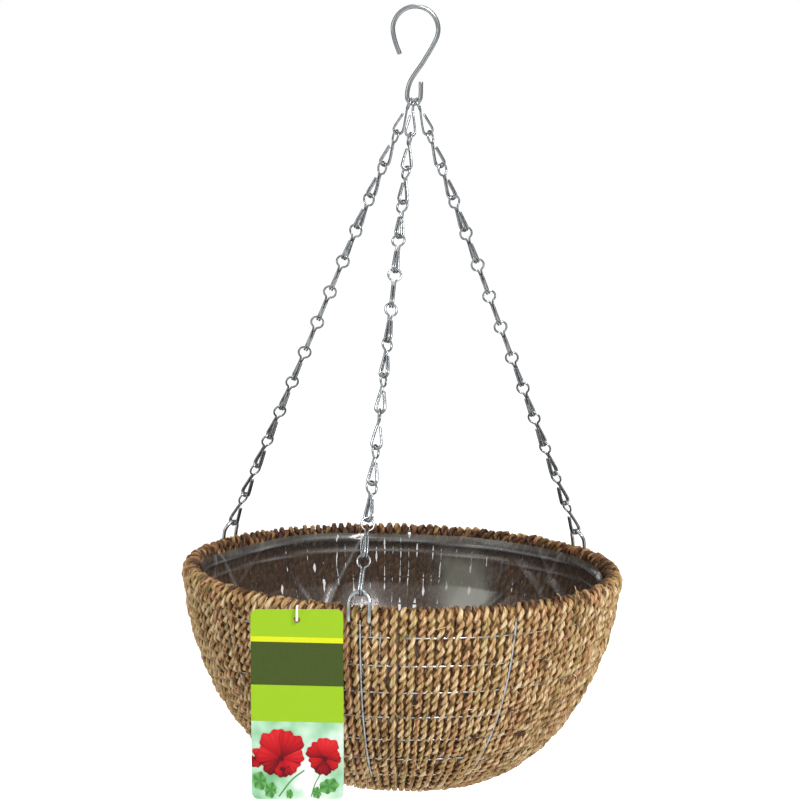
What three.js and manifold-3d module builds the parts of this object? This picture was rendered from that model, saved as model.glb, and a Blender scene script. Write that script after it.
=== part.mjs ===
// Woven hanging basket on three chains, with its liner, rim clips, hook and hanging label.
// Millimetres, +Z up. The origin is the point inside the hook's crown that rests on a rail or nail.
// Azimuths are in degrees from the front (-Y), positive towards +X.
import * as THREE from 'three';
import Manifold from 'manifold-3d';

// ---- driving sizes -------------------------------------------------------------------------
const FIT_GAP = 0.3;          // clearance between pieces that touch

const HOOK_WIRE_R = 1.8;
const HOOK_CROWN_R = 17.6;    // wire centre line, from the crown's centre
const HOOK_DROP = 71.3;       // from the bearing point to the inside of the eye's bottom
const HOOK_EYE_PLAY = 0.7;    // beside the three rings that lie in the eye's bend
const HOOK_TIP_IN = 6;        // how far the free tip turns in from the crown's widest point
const HOOK_TIP_DROP = 19.5;   // how far the free tip hangs under the crown's centre
const HOOK_STUB = 12;         // height of the eye's free end over the bend's centre
const HOOK_STEPS = 46;

const RIM_DROP = 363.3;       // from the inside of the eye's bottom down to the rim's top
const RIM_R = 175;            // outside of the rope at its widest
const RIM_WIDEST_DEPTH = 10;
const RIM_CREST_IN = 7;       // from the rim's widest line in to its highest line
const RIM_FOLD = 14.5;        // thickness of the rope's fold over the rim wire
const RIM_BAND = 16;          // height of the fold on the outside
const BOWL_DEPTH = 167.5;
const BASE_R = 72;            // flat bottom
const BOWL_POWER = 1.8;       // the wall starts upright and turns in later with a larger value
const BOWL_TURN = 0.59;       // how round the corner between wall and bottom is
const WALL_BACK = 2.5;        // how far the wall's core stands back from the rope's outside
const WALL = 5;
const BOWL_ROWS = 8;          // facets of the wall from rim to bottom
const AROUND = 36;            // facets around the axis

const RIM_WIRE_R = 1.5;
const RIM_WIRE_IN = 7.8;      // from the rim's widest line in to the rim wire's centre line
const RIM_WIRE_DEPTH = 6.6;
const RIM_WIRE_PLAY = 0.4;    // between the rim wire and the fold's channel that holds it

const CAGE_RING_WIRE_R = 0.9;
const CAGE_RINGS = 7;
const CAGE_TOP_DEPTH = 25;
const CAGE_PITCH = 23;        // between two rings, measured down the wall
const RIB_WIRE_R = 1.1;
const RIBS = 9;
const RIB_STEPS = 9;
const WELD = 0.35;            // how deep a rib sinks into the rings it is welded to

const LINER = 0.8;
const LINER_TOP_DEPTH = 9;

const CLIP_WIRE_R = 1.5;
const CLIP_ARCH_R = 7.7;      // wire centre line
const CLIP_TOP = 10;          // wire centre line of the arch's top over the rim's top
const CLIP_LEAN = 2;          // how far the arch's top leans in over the rim's widest line
const CLIP_PLAY = 2.3;        // between a clip's foot and the rim wire over it
const CLIP_FOOT_SHORT = 0.9;  // between a foot's end and the fold's inner lip
const CLIP_ARCH_STEPS = 8;
const CLIP_AZ = { front: -10.2, left: -125.6, right: 124.2 };

const LINKS = 14;             // in each chain
const LINK_WIRE_R = 0.9;
const LINK_RING_IN_R = 3.95;  // inside of a link's ring
const LINK_LEG_GAP = 0.2;     // between a link's two legs
const LINK_PLAY = 0.5;        // clearance where a link hangs on the next
const LINK_BEND_IN_R = 2.8;   // inside of the bend that carries the next link
const LINK_RING_STEPS = 8;
const LINK_NECK = 1.9;        // length of the straight neck under the ring
const LINK_END_GAP = 0.3;     // between the legs and the free ends beside them
const EYE_RING_GAP = 0.1;     // between the tops of the three rings in the hook's eye
const EYE_PLAY = 0.55;        // between the hook's wire and the rings that swing on it
const TURN_AT_EYE = 18;       // degrees that each link under the eye is turned from the last
const TURNED_AT_EYE = 5;      // how many links it takes to face forward
const REAR_FREE_LINK = 8;     // the last link of a rear chain that faces forward
const FRONT_TURN_LINK = 10;   // the front chain turns edge-on again at this link
const FRONT_TURN = 84;

const CARD_WIDTH = 68;
const CARD_HEIGHT = 143;
const CARD_THICK = 0.6;
const CARD_CORNER_R = 5;
const CARD_HOLE_R = 2.5;
const CARD_HOLE_DOWN = 7.6;   // from the card's top edge to the hole's centre
const CARD_X = -76.6;
const CARD_OUT = 1.5;         // how far the card stands in front of the rim's widest line
const CARD_TOP_DEPTH = 3.2;
const TIE_WIRE_R = 0.9;
const TIE_FRONT = 4.5;        // how far the tie's loop stands in front of the card
const TIE_LOOP_TOP = 2.2;     // how far it passes over the card's top edge
const TIE_TUCK = 3.9;         // how deep the tie's ends are tucked into the rope

// ---- derived sizes -------------------------------------------------------------------------
const HOOK_EYE_HALF = 3 * LINK_WIRE_R + HOOK_EYE_PLAY;
const HOOK_EYE_R = HOOK_EYE_HALF + HOOK_WIRE_R;           // wire centre line of the eye's bend
const EYE_BEND_Z = -HOOK_DROP + HOOK_EYE_HALF;
const RIM_Z = -HOOK_DROP - RIM_DROP;
const RIM_CREST_R = RIM_R - RIM_CREST_IN;
const RIM_INSIDE_R = RIM_R - RIM_FOLD;
const RIM_WIRE_CENTRE_R = RIM_R - RIM_WIRE_IN;
const CHANNEL_HALF = RIM_WIRE_R + RIM_WIRE_PLAY;
const CHANNEL_OUT_R = RIM_WIRE_CENTRE_R + CHANNEL_HALF;
const CHANNEL_IN_R = RIM_WIRE_CENTRE_R - CHANNEL_HALF;
const CHANNEL_TOP_DEPTH = RIM_WIRE_DEPTH - CHANNEL_HALF;
const CLIP_TOP_R = RIM_R - CLIP_LEAN;
const CLIP_FOOT_DEPTH = RIM_WIRE_DEPTH + RIM_WIRE_R + CLIP_PLAY + CLIP_WIRE_R;
const CLIP_FOOT_END_R = CHANNEL_IN_R + CLIP_FOOT_SHORT;
const LEG_OUT_R = RIM_R + FIT_GAP + CLIP_WIRE_R;
const LIP_DEPTH = CLIP_FOOT_DEPTH + CLIP_WIRE_R + 2 * FIT_GAP;
const WALL_TOP_R = CHANNEL_OUT_R - 1.6;                   // inside of the wall under the channel
const LINK_RING_R = LINK_RING_IN_R + LINK_WIRE_R;
const LINK_BEND_R = LINK_BEND_IN_R + LINK_WIRE_R;
const LINK_LEG_HALF = LINK_WIRE_R + 0.5 * LINK_LEG_GAP;
const LINK_END_CLEAR = 2 * LINK_WIRE_R + LINK_END_GAP;    // from the legs to the free ends
const CARD_Y = -RIM_R - CARD_OUT;
const CARD_HOLE_Z = RIM_Z - CARD_TOP_DEPTH - CARD_HOLE_DOWN;
const ROPE_Y = -Math.sqrt(RIM_R ** 2 - CARD_X ** 2);      // the rim's outside behind the card

const rad = THREE.MathUtils.degToRad;
const solids = await Manifold();
solids.setup();

const STEEL = { color: 0xa9acad, metalness: 0.9, roughness: 0.45 };
const DARK_STEEL = { color: 0x7d7f7c, metalness: 0.8, roughness: 0.5 };
const GRASS = { color: 0xc9a468, metalness: 0, roughness: 0.9 };
const FILM = { color: 0x4b4742, metalness: 0, roughness: 0.35 };
const CARD = { color: 0x9bc32a, metalness: 0, roughness: 0.6 };
const PLASTIC = { color: 0xf2f2ee, metalness: 0, roughness: 0.5 };

// ---- helpers -------------------------------------------------------------------------------
// A line through given points, for wires whose bends need vertices in chosen places.
class Bent extends THREE.Curve {
  constructor(points) {
    super();
    this.points = points;
  }
  getPoint(t, out = new THREE.Vector3()) {
    const at = Math.min(t, 1) * (this.points.length - 1);
    const n = Math.min(Math.floor(at), this.points.length - 2);
    return out.lerpVectors(this.points[n], this.points[n + 1], at - n);
  }
  getPointAt(u, out) {
    return this.getPoint(u, out);
  }
  getTangentAt(u, out = new THREE.Vector3()) {
    const at = Math.round(u * (this.points.length - 1));
    const before = this.points[Math.max(at - 1, 0)];
    const after = this.points[Math.min(at + 1, this.points.length - 1)];
    return out.subVectors(after, before).normalize();
  }
}

function sweep(curve, steps, radius, sides) {
  const section = new THREE.Shape();
  for (let n = 0; n < sides; n++) {
    const a = (2 * Math.PI * (n + 0.5)) / sides;
    const [x, y] = [radius * Math.cos(a), radius * Math.sin(a)];
    if (n) section.lineTo(x, y);
    else section.moveTo(x, y);
  }
  section.closePath();
  return new THREE.ExtrudeGeometry(section, { steps, extrudePath: curve, bevelEnabled: false });
}

const wire = (points, radius, sides) => sweep(new Bent(points), points.length - 1, radius, sides);

// A body of revolution from [radius, depth under the rim] pairs, listed once around its section.
function turned(section) {
  const points = section.map(([r, depth]) => new THREE.Vector2(r, RIM_Z - depth));
  return new THREE.LatheGeometry(points, AROUND).rotateX(Math.PI / 2);
}

function toSolid(geometry) {
  const bare = geometry.index ? geometry.toNonIndexed() : geometry;
  const at = bare.attributes.position;
  const mesh = new solids.Mesh({
    numProp: 3,
    vertProperties: Float32Array.from(at.array),
    triVerts: Uint32Array.from({ length: at.count }, (_, n) => n),
  });
  mesh.merge();
  return new solids.Manifold(mesh);
}

function toGeometry(solid) {
  const mesh = solid.getMesh();
  const shape = new THREE.BufferGeometry();
  const at = new THREE.BufferAttribute(Float32Array.from(mesh.vertProperties), mesh.numProp);
  shape.setAttribute('position', at);
  shape.setIndex(Array.from(mesh.triVerts));
  return shape;
}

// The rope's outside: [radius, depth] at a share of the way down the wall.
function bowlRadius(depth) {
  const down = Math.min(depth / BOWL_DEPTH, 1);
  return BASE_R + (RIM_R - BASE_R) * (1 - down ** BOWL_POWER) ** BOWL_TURN;
}

// The outward direction of the wall in its radial section.
function bowlNormal(depth) {
  const step = 0.5;
  const slope = (bowlRadius(depth + step) - bowlRadius(depth - step)) / (2 * step);
  return new THREE.Vector2(1, -slope).normalize();
}

// A point of the wall moved outward (or inward, if negative), as [radius, depth].
function offWall(depth, out) {
  const n = bowlNormal(depth);
  return [bowlRadius(depth) + out * n.x, depth + out * n.y];
}

// The depths of the wall's rows: they lie closer where it turns in to the bottom.
function rowDepths(top, bottom, rows) {
  return Array.from({ length: rows }, (_, n) => {
    const share = Math.sin((0.5 * Math.PI * n) / (rows - 1));
    return top + (bottom - top) * share;
  });
}

// The depths of the cage's rings, evenly spaced down the wall.
function ringDepths() {
  const step = 0.5;
  const depths = [CAGE_TOP_DEPTH];
  let along = 0;
  for (let depth = CAGE_TOP_DEPTH; depths.length < CAGE_RINGS; depth += step) {
    along += Math.hypot(bowlRadius(depth) - bowlRadius(depth + step), step);
    if (along >= CAGE_PITCH) {
      depths.push(depth + step);
      along -= CAGE_PITCH;
    }
  }
  return depths;
}

const around = (az, r, z) => new THREE.Vector3(r * Math.sin(rad(az)), -r * Math.cos(rad(az)), z);

// ---- hook ----------------------------------------------------------------------------------
function hookGeometry() {
  const crownZ = HOOK_WIRE_R - HOOK_CROWN_R;
  const at = (x, z) => new THREE.Vector3(x, 0, z);
  const points = [
    at(HOOK_TIP_IN - HOOK_CROWN_R, crownZ - HOOK_TIP_DROP),
    at(0.4 * HOOK_TIP_IN - HOOK_CROWN_R, crownZ - 0.55 * HOOK_TIP_DROP),
  ];
  for (let a = 180; a >= -18; a -= 22) {
    points.push(at(HOOK_CROWN_R * Math.cos(rad(a)), crownZ + HOOK_CROWN_R * Math.sin(rad(a))));
  }
  const bend = [at(0.42 * HOOK_CROWN_R, crownZ - 1.34 * HOOK_CROWN_R)];
  const shank = [at(-0.6 * HOOK_EYE_R, EYE_BEND_Z + 2.25 * HOOK_EYE_R)];
  points.push(...bend, ...shank, at(-HOOK_EYE_R, EYE_BEND_Z + 0.6 * HOOK_EYE_R));
  for (let a = 180; a <= 360; a += 30) {
    points.push(at(HOOK_EYE_R * Math.cos(rad(a)), EYE_BEND_Z + HOOK_EYE_R * Math.sin(rad(a))));
  }
  points.push(at(HOOK_EYE_R, EYE_BEND_Z + HOOK_STUB));
  const line = new THREE.CatmullRomCurve3(points, false, 'centripetal');
  return sweep(line, HOOK_STEPS, HOOK_WIRE_R, 8);
}

// ---- basket wall, rim wire, cage and liner ---------------------------------------------------
function wallSection() {
  const rows = rowDepths(RIM_BAND + 2, BOWL_DEPTH - 1, BOWL_ROWS);
  const outside = rows.map((depth) => offWall(depth, -WALL_BACK));
  const inside = rows.map((depth) => offWall(depth, -WALL_BACK - WALL));
  inside[0] = [WALL_TOP_R, RIM_BAND + 2];
  return { outside, inside };
}

function weaveGeometry() {
  const { outside, inside } = wallSection();
  const floor = BOWL_DEPTH - WALL;
  const section = [
    [0, BOWL_DEPTH],
    [BASE_R, BOWL_DEPTH],
    ...outside.slice(0, -1).reverse(),
    [RIM_R, RIM_BAND],
    [RIM_R, RIM_WIDEST_DEPTH],
    [RIM_R - 1.2, 0.4 * RIM_WIDEST_DEPTH],
    [0.5 * (RIM_R + RIM_CREST_R) + 0.3, 0.09 * RIM_WIDEST_DEPTH],
    [RIM_CREST_R, 0],
    [RIM_INSIDE_R + 3, 1.4],
    [RIM_INSIDE_R, 5],
    [RIM_INSIDE_R, LIP_DEPTH - 2],
    [RIM_INSIDE_R + 1.6, LIP_DEPTH],
    [CHANNEL_IN_R, LIP_DEPTH],
    [CHANNEL_IN_R, CHANNEL_TOP_DEPTH + 1],
    [CHANNEL_IN_R + 1, CHANNEL_TOP_DEPTH],
    [CHANNEL_OUT_R - 1, CHANNEL_TOP_DEPTH],
    [CHANNEL_OUT_R, CHANNEL_TOP_DEPTH + 1],
    [CHANNEL_OUT_R, LIP_DEPTH],
    ...inside.slice(0, -1),
    [BASE_R - WALL, floor],
    [0, floor],
  ];
  let wall = toSolid(turned(section));
  for (const az of Object.values(CLIP_AZ)) {
    for (const side of [-1, 1]) {
      const bore = wire(clipLeg(az, side, LEG_OUT_R + 3), CLIP_WIRE_R + FIT_GAP, 8);
      wall = wall.subtract(toSolid(bore));
    }
  }
  for (const end of tieEnds()) {
    wall = wall.subtract(toSolid(wire(end, TIE_WIRE_R + FIT_GAP, 6)));
  }
  return toGeometry(wall);
}

function rimWireGeometry() {
  const section = Array.from({ length: 6 }, (_, n) => {
    const a = (2 * Math.PI * (n % 5)) / 5;
    const r = RIM_WIRE_CENTRE_R + RIM_WIRE_R * Math.cos(a);
    return [r, RIM_WIRE_DEPTH - RIM_WIRE_R * Math.sin(a)];
  });
  return turned(section);
}

function cageGeometry() {
  const out = -WALL_BACK + FIT_GAP + CAGE_RING_WIRE_R;
  const ribOut = out + CAGE_RING_WIRE_R + RIB_WIRE_R - WELD;
  const parts = [];
  const rings = ringDepths();
  for (const depth of rings) {
    const [r, down] = offWall(depth, out);
    const normal = bowlNormal(depth);
    const tilt = Math.atan2(normal.y, normal.x);
    const section = Array.from({ length: 5 }, (_, k) => {
      const a = tilt + 0.5 * Math.PI * (k % 4);
      return [r + CAGE_RING_WIRE_R * Math.cos(a), down + CAGE_RING_WIRE_R * Math.sin(a)];
    });
    parts.push(toSolid(turned(section.reverse())));
  }
  for (let n = 0; n < RIBS; n++) {
    const az = CLIP_AZ.front + (360 * n) / RIBS;           // one rib stands under the front clip
    const points = rowDepths(RIM_BAND + 1.5, rings.at(-1) + 2, RIB_STEPS).map((depth) => {
      const [r, down] = offWall(depth, ribOut);
      return around(az, r, RIM_Z - down);
    });
    parts.push(toSolid(wire(points, RIB_WIRE_R, 4)));
  }
  return toGeometry(solids.Manifold.union(parts));
}

function linerGeometry() {
  const back = -WALL_BACK - WALL - FIT_GAP;
  const top = RIM_INSIDE_R - FIT_GAP;                     // it hangs straight down from the fold
  const rows = rowDepths(RIM_BAND + 2, BOWL_DEPTH - 1, BOWL_ROWS);
  const skin = (inset) => rows.map((depth) => {
    const [r, down] = offWall(depth, back - inset);
    return [Math.min(r, top - inset), down];
  });
  const outside = skin(0);
  const inside = skin(LINER);
  const floor = BOWL_DEPTH - WALL - FIT_GAP;
  const section = [
    [0, floor],
    [BASE_R - WALL - 1, floor],
    ...outside.slice(0, -1).reverse(),
    [top, LINER_TOP_DEPTH],
    [top - LINER, LINER_TOP_DEPTH],
    ...inside.slice(0, -1),
    [BASE_R - WALL - 1.4, floor - LINER],
    [0, floor - LINER],
  ];
  return turned(section);
}

// ---- rim clips -------------------------------------------------------------------------------
// One leg's foot: it runs inward under the rim wire, starting at the given radius.
function clipLeg(az, side, from) {
  const across = around(az + 90, side * CLIP_ARCH_R, 0);
  return [from, CLIP_FOOT_END_R].map((r) => around(az, r, RIM_Z - CLIP_FOOT_DEPTH).add(across));
}

function clipGeometry(az) {
  const points = [];
  const corner = 1.6;
  const archZ = CLIP_TOP - CLIP_ARCH_R;
  const lean = (z) => LEG_OUT_R - ((LEG_OUT_R - CLIP_TOP_R) * Math.max(z, 0)) / CLIP_TOP;
  const at = (t, r, z) => around(az, r, RIM_Z + z).add(around(az + 90, t, 0));
  const foot = (side) => [
    at(side * CLIP_ARCH_R, CLIP_FOOT_END_R, -CLIP_FOOT_DEPTH),
    at(side * CLIP_ARCH_R, LEG_OUT_R - corner, -CLIP_FOOT_DEPTH),
    at(side * CLIP_ARCH_R, LEG_OUT_R, -CLIP_FOOT_DEPTH + corner),
  ];
  points.push(...foot(-1));
  for (let n = 0; n <= CLIP_ARCH_STEPS; n++) {
    const a = Math.PI * (1 - n / CLIP_ARCH_STEPS);
    const z = archZ + CLIP_ARCH_R * Math.sin(a);
    points.push(at(CLIP_ARCH_R * Math.cos(a), lean(z), z));
  }
  points.push(...foot(1).reverse());
  return wire(points, CLIP_WIRE_R, 6);
}

// ---- chains ----------------------------------------------------------------------------------
// How far a link's bend hangs short of the next link's ring centre, with the ring clear of it.
const SEAT = Math.sqrt((LINK_RING_R - 2 * LINK_WIRE_R - LINK_PLAY) ** 2 - LINK_LEG_HALF ** 2);

// The azimuth that a link's ring faces: across the eye's wire at the top, forward in the middle,
// and along the basket's radius where the last link hangs on its clip.
function facing(name, n) {
  const side = name === 'right' ? 1 : -1;
  if (n <= TURNED_AT_EYE) return side * (TURNED_AT_EYE + 1 - n) * TURN_AT_EYE;
  const last = CLIP_AZ[name] + (name === 'front' ? 0 : -180 * side);
  if (name === 'front') {
    const start = TURNED_AT_EYE + 1;
    if (n <= FRONT_TURN_LINK) return (FRONT_TURN * (n - start)) / (FRONT_TURN_LINK - start);
    const share = (n - FRONT_TURN_LINK) / (LINKS - FRONT_TURN_LINK);
    return FRONT_TURN + (last - FRONT_TURN) * share;
  }
  return (last * Math.max(n - REAR_FREE_LINK, 0)) / (LINKS - REAR_FREE_LINK);
}

// One link's bent wire in its own frame: x across the ring, y along the ring's axis, z up the chain.
function linkLine(pitch) {
  const bottom = SEAT - pitch;
  const neck = -LINK_RING_R - LINK_NECK;
  const lean = 0.5 * (LINK_END_CLEAR - LINK_WIRE_R);
  const half = (side) => {
    const at = (y, z) => new THREE.Vector3(side * LINK_LEG_HALF, y, z);
    const points = [at(-lean, neck)];
    for (const a of [188, 229, 270, 311, 352]) {
      const y = LINK_BEND_R * Math.cos(rad(a));
      points.push(at(y, bottom + LINK_BEND_R * (1 + Math.sin(rad(a)))));
    }
    points.push(at(LINK_END_CLEAR - lean, neck - 2.2));
    return points;
  };
  const ring = [];
  const turn = 360 / (LINK_RING_STEPS + 1);
  const r = LINK_RING_R / Math.sqrt(Math.cos(rad(0.5 * turn)));  // its flats lie as far in as out
  for (let n = 0; n <= LINK_RING_STEPS; n++) {
    const a = rad(-90 + turn * (n + 0.5));
    ring.push(new THREE.Vector3(r * Math.cos(a), 0, r * Math.sin(a)));
  }
  return [...half(1).reverse(), ...ring, ...half(-1)];
}

function chainLinks(name) {
  const az = CLIP_AZ[name];
  const side = { front: 0, left: -1, right: 1 }[name];
  const clip = around(az, CLIP_TOP_R, RIM_Z + CLIP_TOP);
  const pull = clip.clone().sub(new THREE.Vector3(0, 0, EYE_BEND_Z - HOOK_EYE_R)).normalize();
  const lift = LINK_WIRE_R + HOOK_WIRE_R + EYE_PLAY;
  const x = side * (2 * LINK_WIRE_R + EYE_RING_GAP) + lift * pull.x;
  const eye = new THREE.Vector3(x, 0, EYE_BEND_Z - Math.sqrt(HOOK_EYE_R ** 2 - x ** 2));
  const up = eye.clone().sub(clip).normalize();
  const first = LINK_RING_R - lift;
  const last = LINK_WIRE_R + CLIP_WIRE_R + FIT_GAP;
  const pitch = (eye.distanceTo(clip) - first + SEAT + last) / LINKS;
  const line = linkLine(pitch);
  const made = [];
  for (let n = 1; n <= LINKS; n++) {
    const centre = eye.clone().addScaledVector(up, -first - (n - 1) * pitch);
    const face = around(facing(name, n), 1, 0);
    face.addScaledVector(up, -face.dot(up)).normalize();
    const frame = new THREE.Matrix4().makeBasis(face.clone().cross(up), face, up).setPosition(centre);
    const shape = wire(line, LINK_WIRE_R, 5).applyMatrix4(frame);
    made.push([`chain_${name}_link_${String(n).padStart(2, '0')}`, shape, STEEL]);
  }
  return made;
}

// ---- label -----------------------------------------------------------------------------------
function cardGeometry() {
  const [w, h, r] = [0.5 * CARD_WIDTH, CARD_HEIGHT, CARD_CORNER_R];
  const outline = new THREE.Shape();
  outline.moveTo(-w + r, 0);
  outline.lineTo(w - r, 0);
  outline.absarc(w - r, -r, r, 0.5 * Math.PI, 0, true);
  outline.lineTo(w, -h + r);
  outline.absarc(w - r, -h + r, r, 0, -0.5 * Math.PI, true);
  outline.lineTo(-w + r, -h);
  outline.absarc(-w + r, -h + r, r, -0.5 * Math.PI, -Math.PI, true);
  outline.lineTo(-w, -r);
  outline.absarc(-w + r, -r, r, Math.PI, 0.5 * Math.PI, true);
  const hole = new THREE.Path();
  hole.absarc(0, -CARD_HOLE_DOWN, CARD_HOLE_R, 0, 2 * Math.PI, false);
  outline.holes.push(hole);
  const options = { depth: CARD_THICK, bevelEnabled: false, curveSegments: 5 };
  return new THREE.ExtrudeGeometry(outline, options)
    .rotateX(Math.PI / 2)
    .translate(CARD_X, CARD_Y + 0.5 * CARD_THICK, RIM_Z - CARD_TOP_DEPTH);
}

const tiePoint = (y, z) => new THREE.Vector3(CARD_X, y, z);

// The two ends of the tie, which are tucked into the rope, as [outside, end].
function tieEnds() {
  const low = CARD_HOLE_Z;
  const tucked = ROPE_Y + TIE_TUCK;
  return [
    [tiePoint(ROPE_Y - 10, low), tiePoint(tucked, low)],
    [tiePoint(ROPE_Y - 12, RIM_Z - 2.2), tiePoint(tucked, RIM_Z - 6)],
  ];
}

function tieGeometry() {
  const front = CARD_Y - TIE_FRONT;
  const top = RIM_Z - CARD_TOP_DEPTH + TIE_LOOP_TOP;
  const [low, high] = tieEnds();
  const points = [
    low[1],
    tiePoint(front + 1.5, CARD_HOLE_Z),
    tiePoint(front, CARD_HOLE_Z + 1.5),
    tiePoint(front, top - 1.5),
    tiePoint(front + 1.5, top),
    high[0],
    high[1],
  ];
  return wire(points, TIE_WIRE_R, 6);
}

// ---- assembly --------------------------------------------------------------------------------
const basket = new THREE.Group();

function add(name, geometry, look) {
  const mesh = new THREE.Mesh(geometry, new THREE.MeshStandardMaterial(look));
  mesh.name = name;
  basket.add(mesh);
}

add('hook', hookGeometry(), STEEL);
for (const name of Object.keys(CLIP_AZ)) {
  for (const piece of chainLinks(name)) add(...piece);
}
for (const [name, az] of Object.entries(CLIP_AZ)) add(`rim_clip_${name}`, clipGeometry(az), STEEL);
add('rim_wire', rimWireGeometry(), DARK_STEEL);
add('wire_cage', cageGeometry(), DARK_STEEL);
add('grass_weave', weaveGeometry(), GRASS);
add('liner', linerGeometry(), FILM);
add('label_card', cardGeometry(), CARD);
add('label_tie', tieGeometry(), PLASTIC);

export default basket;
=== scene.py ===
"""Hanging basket of twisted grass rope: the look of every piece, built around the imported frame.

Sizes are in metres, in the frame's own axes: +Z up, and the origin inside the hook's crown.
Azimuths are in degrees from the front (-Y), positive towards +X.
"""

import math
import random

import bmesh
import bpy
import numpy as np
from bpy.props import FloatProperty, FloatVectorProperty, IntProperty, PointerProperty
from mathutils import Matrix, Vector


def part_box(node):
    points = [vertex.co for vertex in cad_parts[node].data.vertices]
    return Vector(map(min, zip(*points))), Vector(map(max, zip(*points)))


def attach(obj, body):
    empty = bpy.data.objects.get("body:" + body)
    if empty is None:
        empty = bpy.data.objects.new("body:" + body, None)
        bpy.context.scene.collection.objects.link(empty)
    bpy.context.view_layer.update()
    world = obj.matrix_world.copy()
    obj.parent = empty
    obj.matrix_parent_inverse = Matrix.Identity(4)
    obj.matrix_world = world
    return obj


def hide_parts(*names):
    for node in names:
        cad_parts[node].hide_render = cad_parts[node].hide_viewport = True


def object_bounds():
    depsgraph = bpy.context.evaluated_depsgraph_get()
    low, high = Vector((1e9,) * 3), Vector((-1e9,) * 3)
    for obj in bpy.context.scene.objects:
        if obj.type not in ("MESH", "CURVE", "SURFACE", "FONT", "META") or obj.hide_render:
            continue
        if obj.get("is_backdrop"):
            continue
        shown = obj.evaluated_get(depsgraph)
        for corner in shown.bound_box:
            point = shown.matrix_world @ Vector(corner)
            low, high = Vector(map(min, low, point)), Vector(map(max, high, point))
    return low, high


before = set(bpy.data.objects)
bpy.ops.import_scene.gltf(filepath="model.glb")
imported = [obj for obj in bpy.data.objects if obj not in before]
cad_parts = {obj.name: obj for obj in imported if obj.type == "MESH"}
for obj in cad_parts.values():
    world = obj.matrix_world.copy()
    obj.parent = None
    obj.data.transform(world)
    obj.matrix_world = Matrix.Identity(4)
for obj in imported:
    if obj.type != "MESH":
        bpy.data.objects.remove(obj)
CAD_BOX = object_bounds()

bl_info = {
    "name": "Hanging Basket",
    "version": (1, 0, 0),
    "blender": (4, 5, 0),
    "location": "3D View > Sidebar > Basket",
    "description": "Builds a rope-woven hanging basket with its liner, chains, hook and label",
    "category": "Add Mesh",
}

# ---- places and sizes that follow the frame ------------------------------------------------------
WEAVE_LOW, WEAVE_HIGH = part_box("grass_weave")
CARD_LOW, CARD_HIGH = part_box("label_card")
RIM_Z = WEAVE_HIGH.z
RIM_R = WEAVE_HIGH.x
BOWL_DEPTH = RIM_Z - WEAVE_LOW.z
BASE_R = 0.072            # where the wall meets the flat bottom
BOWL_POWER = 1.8          # the two powers give the bowl its curve
BOWL_TURN = 0.59
RIM_BAND = 0.016          # depth of the band where the rope folds over
RIM_INSIDE_R = RIM_R - 0.0145
RIM_WIRE_IN = 0.0078
RIM_WIRE_DEPTH = 0.0066

CLIP_AZ = {"front": -10.2, "left": -125.6, "right": 124.2}
CHAIN_SIDE = {"front": 0, "left": -1, "right": 1}
CLIP_TOP_R = RIM_R - 0.002
CLIP_WIRE = 0.0015
CLIP_ARCH = 0.0077        # half width of the arch over the rim
CLIP_TOP = 0.010          # height of the arch's top over the rim's
CLIP_PLAY = 0.0003        # between the arch and the link that hangs on it
CLIP_FOOT_DEPTH = 0.0119
CLIP_FOOT_END_R = 0.1662
CLIP_CORNER = 0.0016
LEG_CLEAR = 0.0003        # between a clip's leg and the rope's outside

TURN_AT_EYE = 18          # turn from one link to the next under the hook, in degrees
TURNED_AT_EYE = 5         # links that are turned in that way
REAR_FREE_LINK = 8        # a rear chain turns towards its clip after this link
FRONT_TURN_LINK = 10      # the front chain has turned by FRONT_TURN at this link
FRONT_TURN = 84
LINK_THINNED = 0.97       # drawn a little thinner than bent, so that links keep clear when they turn

LEAN = math.radians(-1.4)     # the basket's lean in the camera's view
RING_IN = 0.0037          # how far a ring's wire lies in from the rope's outside
RIB_IN = 0.0040           # the same for a rib, and then for one that shows
BARE_RIB_IN = 0.0031
BARE_RIBS = (0, 1)        # ribs that show between the ropes, counted from the front clip
ROPE_STEP = 0.002         # between two sections of a strand
STRANDS = 2               # strands twisted into the rope
STRAND_SIDES = 12
STRAND_LOBES = 4          # blades of grass rolled into one strand
STRAND_OUT = 0.47         # strand's centre line from the rope's, as a share of the rope's half width
STRAND_HALF = 0.53        # strand's half width, as the same share
BLADE_TURN = 0.50         # how far the blades turn back in their strand while the rope turns once
CORE_IN = 0.42            # how far behind its centre line the rope's flat blades lie, as a share
CORE_WIDE = 0.97          # their half width and half thickness, as shares of the rope's
CORE_THICK = 0.22
RING_REACH = 0.0032       # how far up and down a ring draws the rope in
INSIDE_SHADE = 0.55         # painted shade: how much darker the rope's end is inside the rim
COIL_PITCH = 0.94         # between two turns of the base coil, as a share of the rope's thickness
COIL_EDGE_R = BASE_R - 0.0098
SECTIONS_IN_STRIP = 140   # sections of a strand in one strip of its map
BAKE_MAP = "OFBake"

# Where the ropes stand apart most: azimuth, spread and how many times
LOOSE_PLACES = ((-147, 6, 34), (-163, 4, 16), (178, 3, 4), (-172, 30, 14), (146, 12, 7))
PARTING_ROWS = (0.08, 0.21, 0.33, 0.44, 0.56, 0.68)     # their depths, as shares of the bowl's

# Places of painted sheen on the film: azimuth, way down in metres, half width, half height and strength
SHEEN_PLACES = (
    (160, 0.048, 11, 0.045, 1.0),
    (137, 0.075, 6, 0.030, 0.7),
    (-120, 0.060, 14, 0.030, 0.6),
    (-176, 0.100, 7, 0.025, 0.5),
    (60, 0.070, 25, 0.030, 0.7),
    (-40, 0.090, 30, 0.030, 0.7),
)
HEMS = ((0.006, 0.0012), (0.016, 0.0009))     # folded hems: way down the film and height; each carries a painted highlight along its fold
FILM_R = 0.150            # radius at which the creases' places round the film are measured

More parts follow.
